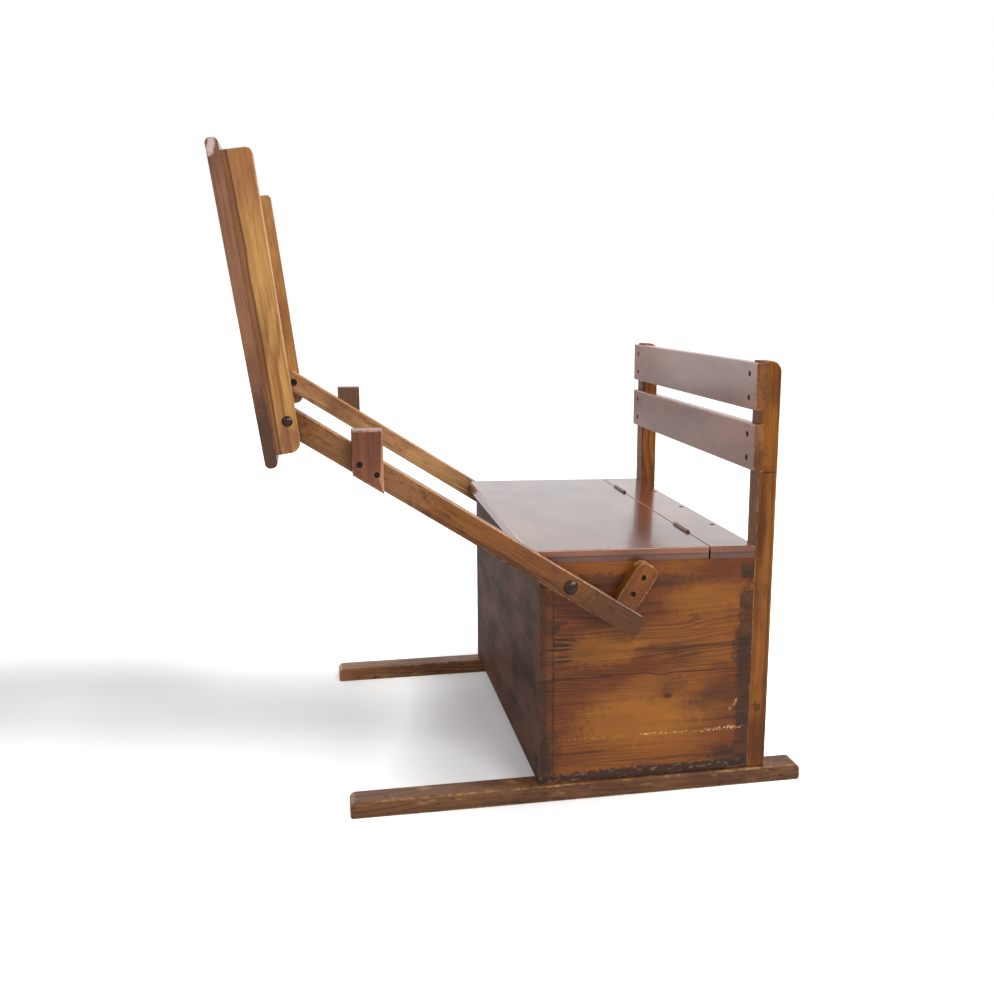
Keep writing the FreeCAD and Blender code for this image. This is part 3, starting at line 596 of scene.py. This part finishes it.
SCRAPES = {
    "rear end": dict(middle=(0.252, 0.0802), half=(0.034, 0.0026), slope=0.03, ragged=1.1, depth=0.95),
    "middle": dict(middle=(0.175, 0.08), half=(0.045, 0.0015), slope=-0.02, depth=0.8),
    "front": dict(middle=(0.07, 0.08), half=(0.055, 0.001), slope=-0.03, depth=0.32),
}
CHIPS = {
    "upper": dict(middle=(0.268, 0.1165), half=(0.0016, 0.0042), slope=-0.5, ragged=1.2, depth=0.9, soft=0.7),
    "next": dict(middle=(0.2655, 0.1115), half=(0.0026, 0.0012), slope=0.5, ragged=1.2, depth=0.7, soft=0.7),
    "lower": dict(middle=(0.2605, 0.1066), half=(0.0013, 0.003), slope=-0.3, ragged=1.2, depth=0.8, soft=0.7),
}
print("side marks", sum(len(places) for places in (OLD_DIRT, STAINS_AND_SHADOW, SUNNY, CRACKED_GRAIN, SCRAPES, CHIPS)))

# %% [markdown]
# The arms, a post and the desk have marks with a place too: grease where an arm bears on its
# cleat, wood rubbed pale by hands, and a knocked corner.

# %% Places of marks on the arms, post and desk
ARM_TAIL = dict(middle=(0.112, 0.242), half=(0.05, 0.02), slope=-0.576, depth=0.65, soft=1.2)
ARM_HANDLED = dict(middle=(-0.2, 0.445), half=(0.06, 0.022), slope=-0.576, depth=0.42, soft=1.2)
DESK_FOOT = dict(middle=(-0.314, 0.462), half=(0.018, 0.055), slope=-0.13, ragged=0.8, depth=0.75, soft=1.4)
DESK_CORNER = dict(middle=(-0.3548, 0.7935), half=(0.004, 0.009), slope=-0.13, ragged=1.0, depth=0.92,
                   soft=0.7)
BOLT_STAIN = dict(middle=(-0.287, 0.483), half=(0.009, 0.012), depth=0.6, soft=0.9)
POST_STAINS = {
    "line": dict(middle=(0.3025, 0.4175), half=(0.013, 0.0009), ragged=0.4, depth=0.7),
    "knock": dict(middle=(0.297, 0.107), half=(0.005, 0.006), ragged=1.4, depth=0.6),
    "foot": dict(middle=(0.304, 0.06), half=(0.013, 0.03), ragged=1.2, depth=0.4, soft=1.0),
    "upper": dict(middle=(0.296, 0.36), half=(0.004, 0.06), ragged=1.2, depth=0.35, soft=0.9),
}
print("post stains", len(POST_STAINS))

# %% [markdown]
# A patch is an oval with a ragged rim, and most marks are patches laid over one another. A thin
# line is drawn where a distance passes through zero.

# %% Patches, lines and flecks
# A dark tint for dirt, joints and flecks, also used to paint the shadow under the lid and the shade in the
# groove along its edge.
SOOT_AND_SHADE = (0.02, 0.01, 0.007, 1)
GOLD = linear(182, 116, 34)
BARE_WOOD = linear(214, 172, 122)
DUST = linear(132, 112, 86)
GREASE = linear(72, 40, 20)
HANDLED = linear(182, 134, 88)
CHALK = linear(212, 184, 174)
FOOT_BROWN = linear(58, 37, 30)
RIM_NOISE = (140.0, 4.0, 0.65)
RIM_START = 0.7
LINE_HALF = 0.0003
FLECK_NOISE = ((90, 55, 210), 3.0, 0.6)
FLECK_AREAS = (14.0, 2.0, 0.5)


def spot(tree, place, middle, half, depth, ragged=0.9, slope=0.0, soft=0.5):
    """A soft patch about a point in Y and Z, longer one way than the other, with a ragged rim."""
    away = oval(tree, place, (0, *middle), (0, *half), (-slope, 0, 0))
    rim = times(tree, noise(tree, place, *RIM_NOISE), 2 * ragged)
    start = RIM_START + ragged
    return between(tree, plus(tree, away, rim), start, start + soft, depth, 0.0)


def patched(tree, place, colour, patches, tint):
    """Patches of one tint laid over a colour."""
    for patch in patches:
        colour = blend_colours(tree, spot(tree, place, **patch), colour, tint)
    return colour


def thin_line(tree, distance, gone, depth):
    """A line where a distance is zero, gone a little further off."""
    return between(tree, math_node(tree, "ABSOLUTE", distance), LINE_HALF, gone, depth, 0.0)


def flecked(tree, place, colour, slope=ARM_TAIL["slope"], deep=0.5):
    """Short dark flecks along a board, where the varnish has crazed and taken dirt."""
    along = stretched(tree, place, (1, 1, 1), turn=(-slope, 0, 0))
    speckle = between(tree, long_noise(tree, along, *FLECK_NOISE), 0.56, 0.66)
    where = between(tree, noise(tree, place, *FLECK_AREAS), 0.35, 0.6, 0.1, deep)
    return blend_colours(tree, times(tree, speckle, where), colour, SOOT_AND_SHADE)


print("patches ready")

# %% [markdown]
# The two side panels share their dirt and the open joint. The right one, which was used
# hardest, has all the other marks as well.

# %% Marks on the side panels
JOINT_HEIGHT = 0.151
JOINT_RISE = 0.022
JOINT_NOISE = dict(stretch=(0, 11.0, 0), detail=2.0, rough=0.4, place=(0, 0.33, 0))
DUST_NOISE = ((90, 90, 260), 3.0, 0.6)
SPECK_NOISE = (360.0, 3.0, 0.6)


def glue_line(tree, place):
    """The open joint between two boards, wandering a few millimetres."""
    height = add_node(tree, "ShaderNodeSeparateXYZ", {0: place}).outputs["Z"]
    swing = long_noise(tree, place, **JOINT_NOISE)
    level = plus(tree, times(tree, swing, JOINT_RISE), JOINT_HEIGHT)
    return thin_line(tree, math_node(tree, "SUBTRACT", height, level), 0.0012, 0.85)


def plain_side_marks(tree, place, colour):
    """Old dirt and the open joint, which both side panels have."""
    colour = patched(tree, place, colour, OLD_DIRT.values(), SOOT_AND_SHADE)
    dust = between(tree, long_noise(tree, place, *DUST_NOISE), 0.56, 0.68, 0.0, 0.7)
    low = spot(tree, place, **OLD_DIRT["along the bottom"])
    colour = blend_colours(tree, times(tree, dust, low), colour, DUST)
    return blend_colours(tree, glue_line(tree, place), colour, SOOT_AND_SHADE)


def marked_side_marks(tree, place, colour):
    """The same, with knot, stains, the painted shadow under the lid, cracks, scrapes and chips."""
    colour = patched(tree, place, colour, SUNNY.values(), GOLD)
    colour = patched(tree, place, colour, (*STAINS_AND_SHADOW.values(), *CRACKED_GRAIN.values()), SOOT_AND_SHADE)
    colour = plain_side_marks(tree, place, colour)
    specks = between(tree, noise(tree, place, *SPECK_NOISE), 0.5, 0.6)
    thicker = between(tree, specks, 0.0, 1.0, 0.3, 1.0)
    for patches, broken_by in ((SCRAPES, specks), (CHIPS, thicker)):
        for patch in patches.values():
            broken = times(tree, spot(tree, place, **patch), broken_by)
            colour = blend_colours(tree, broken, colour, BARE_WOOD)
    return colour


def pin_marks(tree, place, colour):
    """The dirt of the front corner carried over the ends of the pins."""
    corner = [OLD_DIRT[name] for name in ("front corner", "front foot", "joint line")]
    return patched(tree, place, colour, corner, SOOT_AND_SHADE)


print("side panel marks ready")

# %% [markdown]
# Runners are scuffed by feet, arms are greasy at the tail and rubbed where they are held, and
# the post has a dark line level with the bottom of the lower rail.

# %% Marks on the runners, arms, post and desk board
SCUFF_NOISE = dict(stretch=(60, 26, 120), detail=4.0, rough=0.65, place=(0, 0.4, 0))


def runner_marks(tree, place, colour):
    """Flecks of dirt and scuffed places along a runner."""
    scuffs = between(tree, long_noise(tree, place, **SCUFF_NOISE), 0.57, 0.68, 0.0, 0.45)
    scuffed = blend_colours(tree, scuffs, colour, HANDLED)
    return flecked(tree, place, scuffed, slope=0.0, deep=0.75)


def arm_marks(tree, place, colour):
    """Dark grease at the tail, where the arm bears on its cleat, and paler wood where hands hold it."""
    handled = patched(tree, place, colour, [ARM_HANDLED], HANDLED)
    return flecked(tree, place, patched(tree, place, handled, [ARM_TAIL], GREASE))


def post_marks(tree, place, colour):
    """A dark line across the post, and dirt near its foot and along its upper part."""
    return patched(tree, place, colour, POST_STAINS.values(), SOOT_AND_SHADE)


def desk_end_marks(tree, place, colour):
    """A pale knocked corner at the top of the desk board, and dirt at its foot."""
    knocked = patched(tree, place, colour, [DESK_CORNER], CHALK)
    return patched(tree, place, knocked, [DESK_FOOT], FOOT_BROWN)


print("board marks ready")

# %% [markdown]
# The edge of the lid is moulded: a rounded upper half stands over a groove, and the half below it
# is darker. The solid has no groove, so its shade is painted as a dark line, measured down from
# the sloping top of the seat. The pale band along the rounded top edge is painted highlight, with
# some worn varnish.

# %% Marks on the edges of the seat
SEAT_FALL = 1.2
FALL = math.radians(SEAT_FALL)
SEAT_UP = Vector((0, math.sin(FALL), math.cos(FALL)))
SEAT_TOP = max(vert.co.dot(SEAT_UP) for vert in nodes["seat_lid"].data.vertices)
MOULDING_DOWN = 0.0085
# painted highlight: the pale red of the sheen along the rounded top edge of the lid
HIGHLIGHT_PALE_RED = linear(222, 172, 152)
NOSING_NOISE = (22.0, 3.0, 0.6)


def seat_edge_marks(tree, place, colour):
    """A dark line of painted shade along the edge of the seat, where the groove would be, and the part below
    it darker.
    """
    height = distance_along(tree, place, SEAT_UP)
    below = math_node(tree, "SUBTRACT", SEAT_TOP - MOULDING_DOWN, height)
    darker = blend_colours(tree, between(tree, below, -0.0005, 0.001, 0.0, 0.45), colour, SOOT_AND_SHADE)
    # painted shade: the thin dark line stands for the shade in the groove of the moulding
    return blend_colours(tree, thin_line(tree, below, 0.0012, 0.8), darker, SOOT_AND_SHADE)


def nosing_highlight_marks(tree, place, colour):
    """A pale patchy band along the rounded top edge of the lid: painted highlight of its sheen, with some
    worn varnish.
    """
    below = math_node(tree, "SUBTRACT", SEAT_TOP, distance_along(tree, place, SEAT_UP))
    band = times(tree, between(tree, below, 0.0002, 0.0008), between(tree, below, 0.0025, 0.0045, 1.0, 0.0))
    patchy = between(tree, noise(tree, place, *NOSING_NOISE), 0.3, 0.6, 0.45, 0.9)
    return blend_colours(tree, times(tree, band, patchy), colour, HIGHLIGHT_PALE_RED)


print("seat top", round(SEAT_TOP, 4))

# %% [markdown]
# A desk cheek is redder close to the board, up to a dark streak that wavers along the grain.

# %% Marks on the desk cheeks
DESK_LEAN = 7.6
LEAN = math.radians(DESK_LEAN)
DESK_BACK = Vector((0, math.cos(LEAN), math.sin(LEAN)))
BOARD_BACK = max(vert.co.dot(DESK_BACK) for vert in nodes["desk_board"].data.vertices)
RED_BAND = 0.011
STREAK_WAVER = 0.01
CHEEK_RED = linear(118, 68, 44)
BOLT_RED = linear(128, 78, 56)


def cheek_marks(tree, place, colour):
    """Reddish wood along the board, up to a dark streak."""
    waver = times(tree, long_noise(tree, place, (9, 9, 9), 2.0, 0.5), STREAK_WAVER)
    reached = plus(tree, distance_along(tree, place, DESK_BACK), waver)
    past = math_node(tree, "SUBTRACT", reached, BOARD_BACK + RED_BAND)
    red = blend_colours(tree, between(tree, past, -0.001, 0.003, 0.7, 0.0), colour, CHEEK_RED)
    lined = blend_colours(tree, thin_line(tree, past, 0.0016, 0.6), red, SOOT_AND_SHADE)
    return patched(tree, place, lined, [BOLT_STAIN], BOLT_RED)


print("board back", round(BOARD_BACK, 4))

# %% [markdown]
# Solids leave the CAD with knife-sharp edges, and real boards never have them. Each board is
# copied, its loose triangles are joined into flat faces, and its edges are rounded. The
# rounding only takes material away, so the board stays inside its own box.

# %% Softened boards
SAME_PLACE = 1e-6
FLAT = math.radians(0.5)
SHARP = math.radians(22)
ROUNDING = math.radians(35)
BEVEL_STEPS = 3
NOSING_EDGE = 0.2
NARROW = 0.0013


def corner_normals(shape):
    """A normal for each face corner, led by the largest of the faces that meet there smoothly."""
    areas = {face: face.calc_area() for face in shape.faces}
    normals = []
    for face in shape.faces:
        for loop in face.loops:
            smooth = [near for near in loop.vert.link_faces if near.normal.angle(face.normal, 0) < ROUNDING]
            normals.append(sum((near.normal * areas[near] for near in smooth), Vector()).normalized())
    return normals


def soften(node, width, nosing=0.0):
    """A copy of a solid with joined faces, rounded edges and its rounded places marked.

    Long edges can get a wider rounding first, as the nosing of a lid has.
    """
    shape = bmesh.new()
    shape.from_mesh(nodes[node].data)
    bmesh.ops.remove_doubles(shape, verts=shape.verts, dist=SAME_PLACE)
    bmesh.ops.dissolve_limit(shape, angle_limit=FLAT, verts=shape.verts, edges=shape.edges)
    for offset in (nosing, width) if nosing else (width,):
        sharp = [e for e in shape.edges if len(e.link_faces) == 2 and e.calc_face_angle(0) > SHARP
                 and (offset == width or e.calc_length() > NOSING_EDGE)]
        bmesh.ops.bevel(shape, geom=sharp, offset=offset, offset_type="OFFSET", segments=BEVEL_STEPS,
                        profile=0.5, affect="EDGES", clamp_overlap=True)
    mark = shape.loops.layers.float.new("edge")
    for face in shape.faces:
        face.smooth = True
        for loop in face.loops:
            loop[mark] = float(face.calc_area() < NARROW * face.calc_perimeter())
    normals = corner_normals(shape)
    mesh = bpy.data.meshes.new(f"{node}_board")
    shape.to_mesh(mesh)
    shape.free()
    mesh.normals_split_custom_set(normals)
    piece = in_scene(f"{node}_board", mesh)
    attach(piece, nodes[node]["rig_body"])
    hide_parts(node)
    return piece


print("rounding ready")

# %% [markdown]
# Each board has a finish, the axis its grain follows, the tilt of that axis in degrees and the
# width of its rounded edges. The order counts, because each board cuts its grain from another
# place in the same wood.

# %% Boards
ARM_SLOPE = 33.0
BOARDS = {
    "box_front": ("box_wood", "x", 0, 0.0008),
    "box_back": ("box_wood", "x", 0, 0.0008),
    "box_floor": ("box_wood", "x", 0, 0.0005),
    "seat_lid": ("seat_wood", "x", -SEAT_FALL, 0.0012),
    "seat_strip": ("seat_wood", "x", -SEAT_FALL, 0.001),
    "back_rail_upper": ("red_wood", "x", 0, 0.0008),
    "back_rail_lower": ("red_wood", "x", 0, 0.0008),
    "desk_board": ("desk_wood", "x", DESK_LEAN, 0.0008),
}
for side in ("left", "right"):
    BOARDS[f"runner_{side}"] = ("runner_wood", "y", 0, 0.0022)
    BOARDS[f"box_side_{side}"] = ("box_wood", "y", 0, 0.0008)
    BOARDS[f"post_{side}"] = ("golden_wood", "z", 0, 0.0014)
    BOARDS[f"arm_{side}"] = ("golden_wood", "y", -ARM_SLOPE, 0.0008)
    BOARDS[f"stop_cleat_{side}"] = ("golden_wood", "z", -ARM_SLOPE, 0.0008)
    BOARDS[f"rest_block_{side}"] = ("red_wood", "z", 0, 0.002)
    BOARDS[f"desk_cheek_{side}"] = ("golden_wood", "z", DESK_LEAN, 0.001)
LOOKS = {
    "box_front": FRONT_PANEL,
    "post": POST,
    "desk_cheek": CHEEK,
    "stop_cleat": CLEAT,
    "rest_block": REST_BLOCK,
    # the looks of the far arm and far runner hold painted light
    "arm_left": FAR_ARM_PAINTED_LIGHTER,
    "arm_right": NEAR_ARM,
    "runner_left": FAR_RUNNER_PAINTED_LIGHTER,
    "rest_block_left": FAR_BLOCK,
}
MARKS = {
    "box_side_right": marked_side_marks,
    "box_side_left": plain_side_marks,
    "desk_cheek": cheek_marks,
    "arm_right": arm_marks,
    "arm_left": flecked,
    "post_right": post_marks,
    "runner": runner_marks,
    # the pale band on the rounded top edge of the lid and the strip is painted highlight
    "seat_lid": nosing_highlight_marks,
    "seat_strip": nosing_highlight_marks,
}
print("boards", len(BOARDS))

# %% [markdown]
# The sawn ends of a board take varnish differently from its faces, and so do the moulded ends
# of the seat. They get a second material: a look, the axis and tilt of its grain, its marks and
# how worn it is all over.

# %% Ends of the boards
ENDS = {
    "box_side": (SIDE_PINS, "y", 0, None, 0.0),
    "box_front": (FRONT_PINS, "x", 0, pin_marks, 0.0),
    "box_back": (BACK_PINS, "x", 0, None, 0.0),
    "back_rail_upper": (UPPER_END, "z", 0, None, 0.2),
    "back_rail_lower": (RAIL_END, "z", 0, None, 0.2),
    "desk_board": (DESK_EDGE, "z", DESK_LEAN, desk_end_marks, 0.12),
    "seat_lid": (SEAT_EDGE, "y", 0, seat_edge_marks, 0.15),
    "seat_strip": (SEAT_EDGE, "y", 0, seat_edge_marks, 0.15),
}
FACING = 0.9
END_FROM = 0.24


def at_end(node, face):
    """Whether a face is a sawn end: across Y on a box side, and far out across X on the rest."""
    if node.startswith("box_side"):
        return abs(face.normal.y) > FACING
    return abs(face.normal.x) > FACING and abs(face.center.x) > END_FROM


print("boards with ends", len(ENDS))

# %% [markdown]
# Now every board is made. Its look, marks and ends are found by its own name, or else by the
# name that a left and a right board share. A board with no look of its own has the finish.

# %% Make the boards
NOSING = 0.0035
BOARD_OFFSET = 0.731
END_OFFSET = 0.4
for number, (node, (slot, way, tilt, width)) in enumerate(BOARDS.items()):
    stem = node.removesuffix("_left").removesuffix("_right")
    look, marks, end = (table.get(node, table.get(stem)) for table in (LOOKS, MARKS, ENDS))
    piece = soften(node, width, NOSING if node == "seat_lid" else 0.0)
    material = wood(f"{node}_wood", look or FINISHES[slot], way, tilt, BOARD_OFFSET * number, marks)
    piece.data.materials.append(material)
    if end:
        end_look, end_way, end_tilt, end_marks, worn = end
        material = wood(f"{node}_ends", end_look, end_way, end_tilt, END_OFFSET * number, end_marks, worn)
        piece.data.materials.append(material)
        for face in piece.data.polygons:
            face.material_index = int(at_end(node, face))
print("made", len(BOARDS), "boards")

# %% [markdown]
# All the metal is dark oiled steel with brown rust in patches. Bolts are smooth, hinges are
# paler and browner, and screws are the blackest and dull.

# %% Steel finish
STEEL_NOISE = (260.0, 4.0, 0.65)
RUST_PLACES = (0.45, 0.68)


def aged_steel(name, sound, rusted, metallic, smooth, rough, shine=0.5):
    """Blackened steel with brown rust in patches, rougher where it has rusted."""
    material, tree, shader = new_material(name)
    shader.inputs["Metallic"].default_value = metallic
    shader.inputs["Specular IOR Level"].default_value = shine
    patch = between(tree, noise(tree, own_place(tree), *STEEL_NOISE), *RUST_PLACES)
    tree.links.new(blend_colours(tree, patch, sound, rusted), shader.inputs["Base Color"])
    tree.links.new(between(tree, patch, 0.0, 1.0, smooth, rough), shader.inputs["Roughness"])
    return material


STEEL = aged_steel("dark_steel", linear(54, 48, 43), linear(78, 50, 34), 0.85, 0.2, 0.5)
HINGE_STEEL = aged_steel("hinge_steel", linear(94, 68, 56), linear(118, 82, 64), 0.3, 0.34, 0.6, 0.4)
SCREW_STEEL = aged_steel("screw_steel", linear(34, 28, 25), linear(50, 34, 25), 0.0, 0.65, 0.85, 0.1)
print("finishes", STEEL.name, HINGE_STEEL.name, SCREW_STEEL.name)

# %% [markdown]
# A domed bolt head is a turned shape, so it is made the way a lathe makes it: one profile is
# spun round the bolt's axis. The solids keep a head of a few straight bands, and this smooth one
# stands for it in the same place. Each kind has the width of its head, the height of its dome
# and the width of its shank.

# %% Domed bolts
BOLTS = {"arm_bolt": (0.018, 0.0055, 0.008), "desk_bolt": (0.012, 0.004, 0.006)}
DOME_STEPS = 10
TURN_STEPS = 40


def bolt_profile(low, high, head, dome, shank):
    """Points (along X, out from the axis) from a bolt's tail to the top of its dome."""
    outward = 1 if high > 0 else -1
    tip, tail = (high, low) if outward > 0 else (low, high)
    ball = (head ** 2 / 4 + dome ** 2) / (2 * dome)
    spread = math.asin(head / 2 / ball)
    profile = [(tail, 0.0), (tail, shank / 2), (tip - outward * dome, shank / 2)]
    for step in range(DOME_STEPS + 1):
        angle = spread * (1 - step / DOME_STEPS)
        profile.append((tip - outward * ball * (1 - math.cos(angle)), ball * math.sin(angle)))
    return profile


def turned_bolt(node, head, dome, shank):
    """A bolt spun about X that stands for a solid and rides where it rode."""
    low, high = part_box(node)
    middle = (low + high) / 2
    profile = bolt_profile(low.x, high.x, head, dome, shank)
    shape = bmesh.new()
    rim = [shape.verts.new((x, middle.y, middle.z + radius)) for x, radius in profile]
    edges = [shape.edges.new(pair) for pair in zip(rim, rim[1:])]
    bmesh.ops.spin(shape, geom=rim + edges, cent=(0, middle.y, middle.z), axis=(1, 0, 0), dvec=(0, 0, 0),
                   angle=2 * math.pi, steps=TURN_STEPS)
    bmesh.ops.remove_doubles(shape, verts=shape.verts, dist=SAME_PLACE)
    bmesh.ops.recalc_face_normals(shape, faces=shape.faces)
    for face in shape.faces:
        face.smooth = True
    mesh = bpy.data.meshes.new(f"{node}_turned")
    shape.to_mesh(mesh)
    shape.free()
    mesh.set_sharp_from_angle(angle=ROUNDING)
    mesh.materials.append(STEEL)
    piece = in_scene(f"{node}_turned", mesh)
    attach(piece, nodes[node]["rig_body"])
    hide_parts(node)


turned = [f"{kind}_{side}" for kind in BOLTS for side in ("left", "right")]
for node in turned:
    turned_bolt(node, *BOLTS[node.rsplit("_", 1)[0]])
print("bolts", len(turned))

# %% [markdown]
# Wood screws repeat all over the seat, so one screw head is built by geometry nodes and set on a
# point at each place: a disc with a slot cut across it.

# %% Screw head from geometry nodes
HEAD_CORNERS = 32
CUTTER_LONGER = 1.2


def screw_tree():
    """Slotted heads on the points of a mesh, facing along a vector."""
    tree, given, result = new_group(
        "slotted_screws",
        [("Geometry", "Geometry"), ("Float", "Head"), ("Float", "Depth"), ("Float", "Slot"),
         ("Vector", "Facing")],
        [("Geometry", "Geometry")], "GeometryNodeTree")
    head, depth, slot = (given.outputs[label] for label in ("Head", "Depth", "Slot"))
    disc = add_node(tree, "GeometryNodeMeshCylinder", {
        "Vertices": HEAD_CORNERS, "Radius": times(tree, head, 0.5), "Depth": depth})
    size = add_node(tree, "ShaderNodeCombineXYZ", {0: times(tree, head, CUTTER_LONGER), 1: slot, 2: slot})
    cutter = add_node(tree, "GeometryNodeMeshCube", {"Size": size.outputs[0]})
    lift = add_node(tree, "ShaderNodeCombineXYZ", {2: times(tree, depth, 0.5)})
    lifted = add_node(tree, "GeometryNodeTransform", {
        "Geometry": cutter.outputs["Mesh"], "Translation": lift.outputs[0]})
    slotted = add_node(tree, "GeometryNodeMeshBoolean", {
        "Mesh 1": disc.outputs["Mesh"], "Mesh 2": lifted.outputs["Geometry"]}, operation="DIFFERENCE")
    towards = given.outputs["Facing"]
    facing = add_node(tree, "FunctionNodeAlignRotationToVector", {"Vector": towards}, axis="Z")
    spread = add_node(tree, "GeometryNodeInstanceOnPoints", {
        "Points": given.outputs["Geometry"], "Instance": slotted.outputs["Mesh"],
        "Rotation": facing.outputs[0]})
    real = add_node(tree, "GeometryNodeRealizeInstances", {"Geometry": spread.outputs["Instances"]})
    paint = add_node(tree, "GeometryNodeSetMaterial", {
        "Geometry": real.outputs["Geometry"], "Material": SCREW_STEEL})
    feed(tree, result.inputs["Geometry"], paint.outputs["Geometry"])
    return tree


SCREW_TREE = screw_tree()
print("group", SCREW_TREE.name)

# %% [markdown]
# The places of the screws are read from the solids: each separate solid of a group is one
# screw, and its middle is the point. They are found in the order of the mesh, so that every run
# gives the same result.

# %% Places of the screws
def solid_middles(node):
    """The middle of each separate solid of a node."""
    shape = bmesh.new()
    shape.from_mesh(nodes[node].data)
    bmesh.ops.remove_doubles(shape, verts=shape.verts, dist=SAME_PLACE)
    met, middles = set(), []
    for start in shape.verts:
        if start in met:
            continue
        met.add(start)
        queue, island = [start], []
        while queue:
            vert = queue.pop()
            island.append(vert.co.copy())
            for other in (edge.other_vert(vert) for edge in vert.link_edges):
                if other not in met:
                    met.add(other)
                    queue.append(other)
        low = Vector([min(co[i] for co in island) for i in range(3)])
        high = Vector([max(co[i] for co in island) for i in range(3)])
        middles.append((low + high) / 2)
    shape.free()
    return middles


SCREWS = {
    "back_rail_screws": (0, -1, 0),
    "seat_strip_screws": (0, math.sin(FALL), math.cos(FALL)),
    "desk_board_screws": (0, -math.cos(LEAN), -math.sin(LEAN)),
    "stop_cleat_screws_left": (-1, 0, 0),
    "stop_cleat_screws_right": (1, 0, 0),
    "rest_block_screws_left": (-1, 0, 0),
    "rest_block_screws_right": (1, 0, 0),
}
print("screws", sum(len(solid_middles(node)) for node in SCREWS))

# %% [markdown]
# Every group of screws gets its own run of the tree with its own direction, and the result is
# turned into a plain mesh.

# %% Make the screws
SCREW_HEAD = 0.007
SCREW_DEPTH = 0.002
SCREW_SLOT = 0.001


def screw_heads(node, facing, tree):
    """Screws of one group as a plain mesh that stands for its solids."""
    points = bpy.data.meshes.new(f"{node}_points")
    points.from_pydata(solid_middles(node), [], [])
    holder = in_scene(f"{node}_points", points)
    run = holder.modifiers.new("screws", "NODES")
    run.node_group = tree
    values = {"Head": SCREW_HEAD, "Depth": SCREW_DEPTH, "Slot": SCREW_SLOT, "Facing": facing}
    for item in tree.interface.items_tree:
        if item.in_out == "INPUT" and item.name in values:
            run[item.identifier] = values[item.name]
    bpy.context.view_layer.update()
    built = holder.evaluated_get(bpy.context.evaluated_depsgraph_get())
    mesh = bpy.data.meshes.new_from_object(built)
    bpy.data.objects.remove(holder)
    piece = in_scene(f"{node}_heads", mesh)
    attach(piece, nodes[node]["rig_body"])
    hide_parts(node)
    return len(points.vertices), len(mesh.polygons)


for node, facing in SCREWS.items():
    print(node, screw_heads(node, facing, SCREW_TREE))

# %% [markdown]
# Nuts, washers and hinges stay as they are in the solids and only get a material.

# %% Steel solids that stay as they are
plain_steel = sorted(set(nodes) - set(BOARDS) - set(SCREWS) - set(turned))
for name in plain_steel:
    nodes[name].data.materials.clear()
    nodes[name].data.materials.append(HINGE_STEEL if name.startswith("hinge") else STEEL)
print("steel pieces", plain_steel)
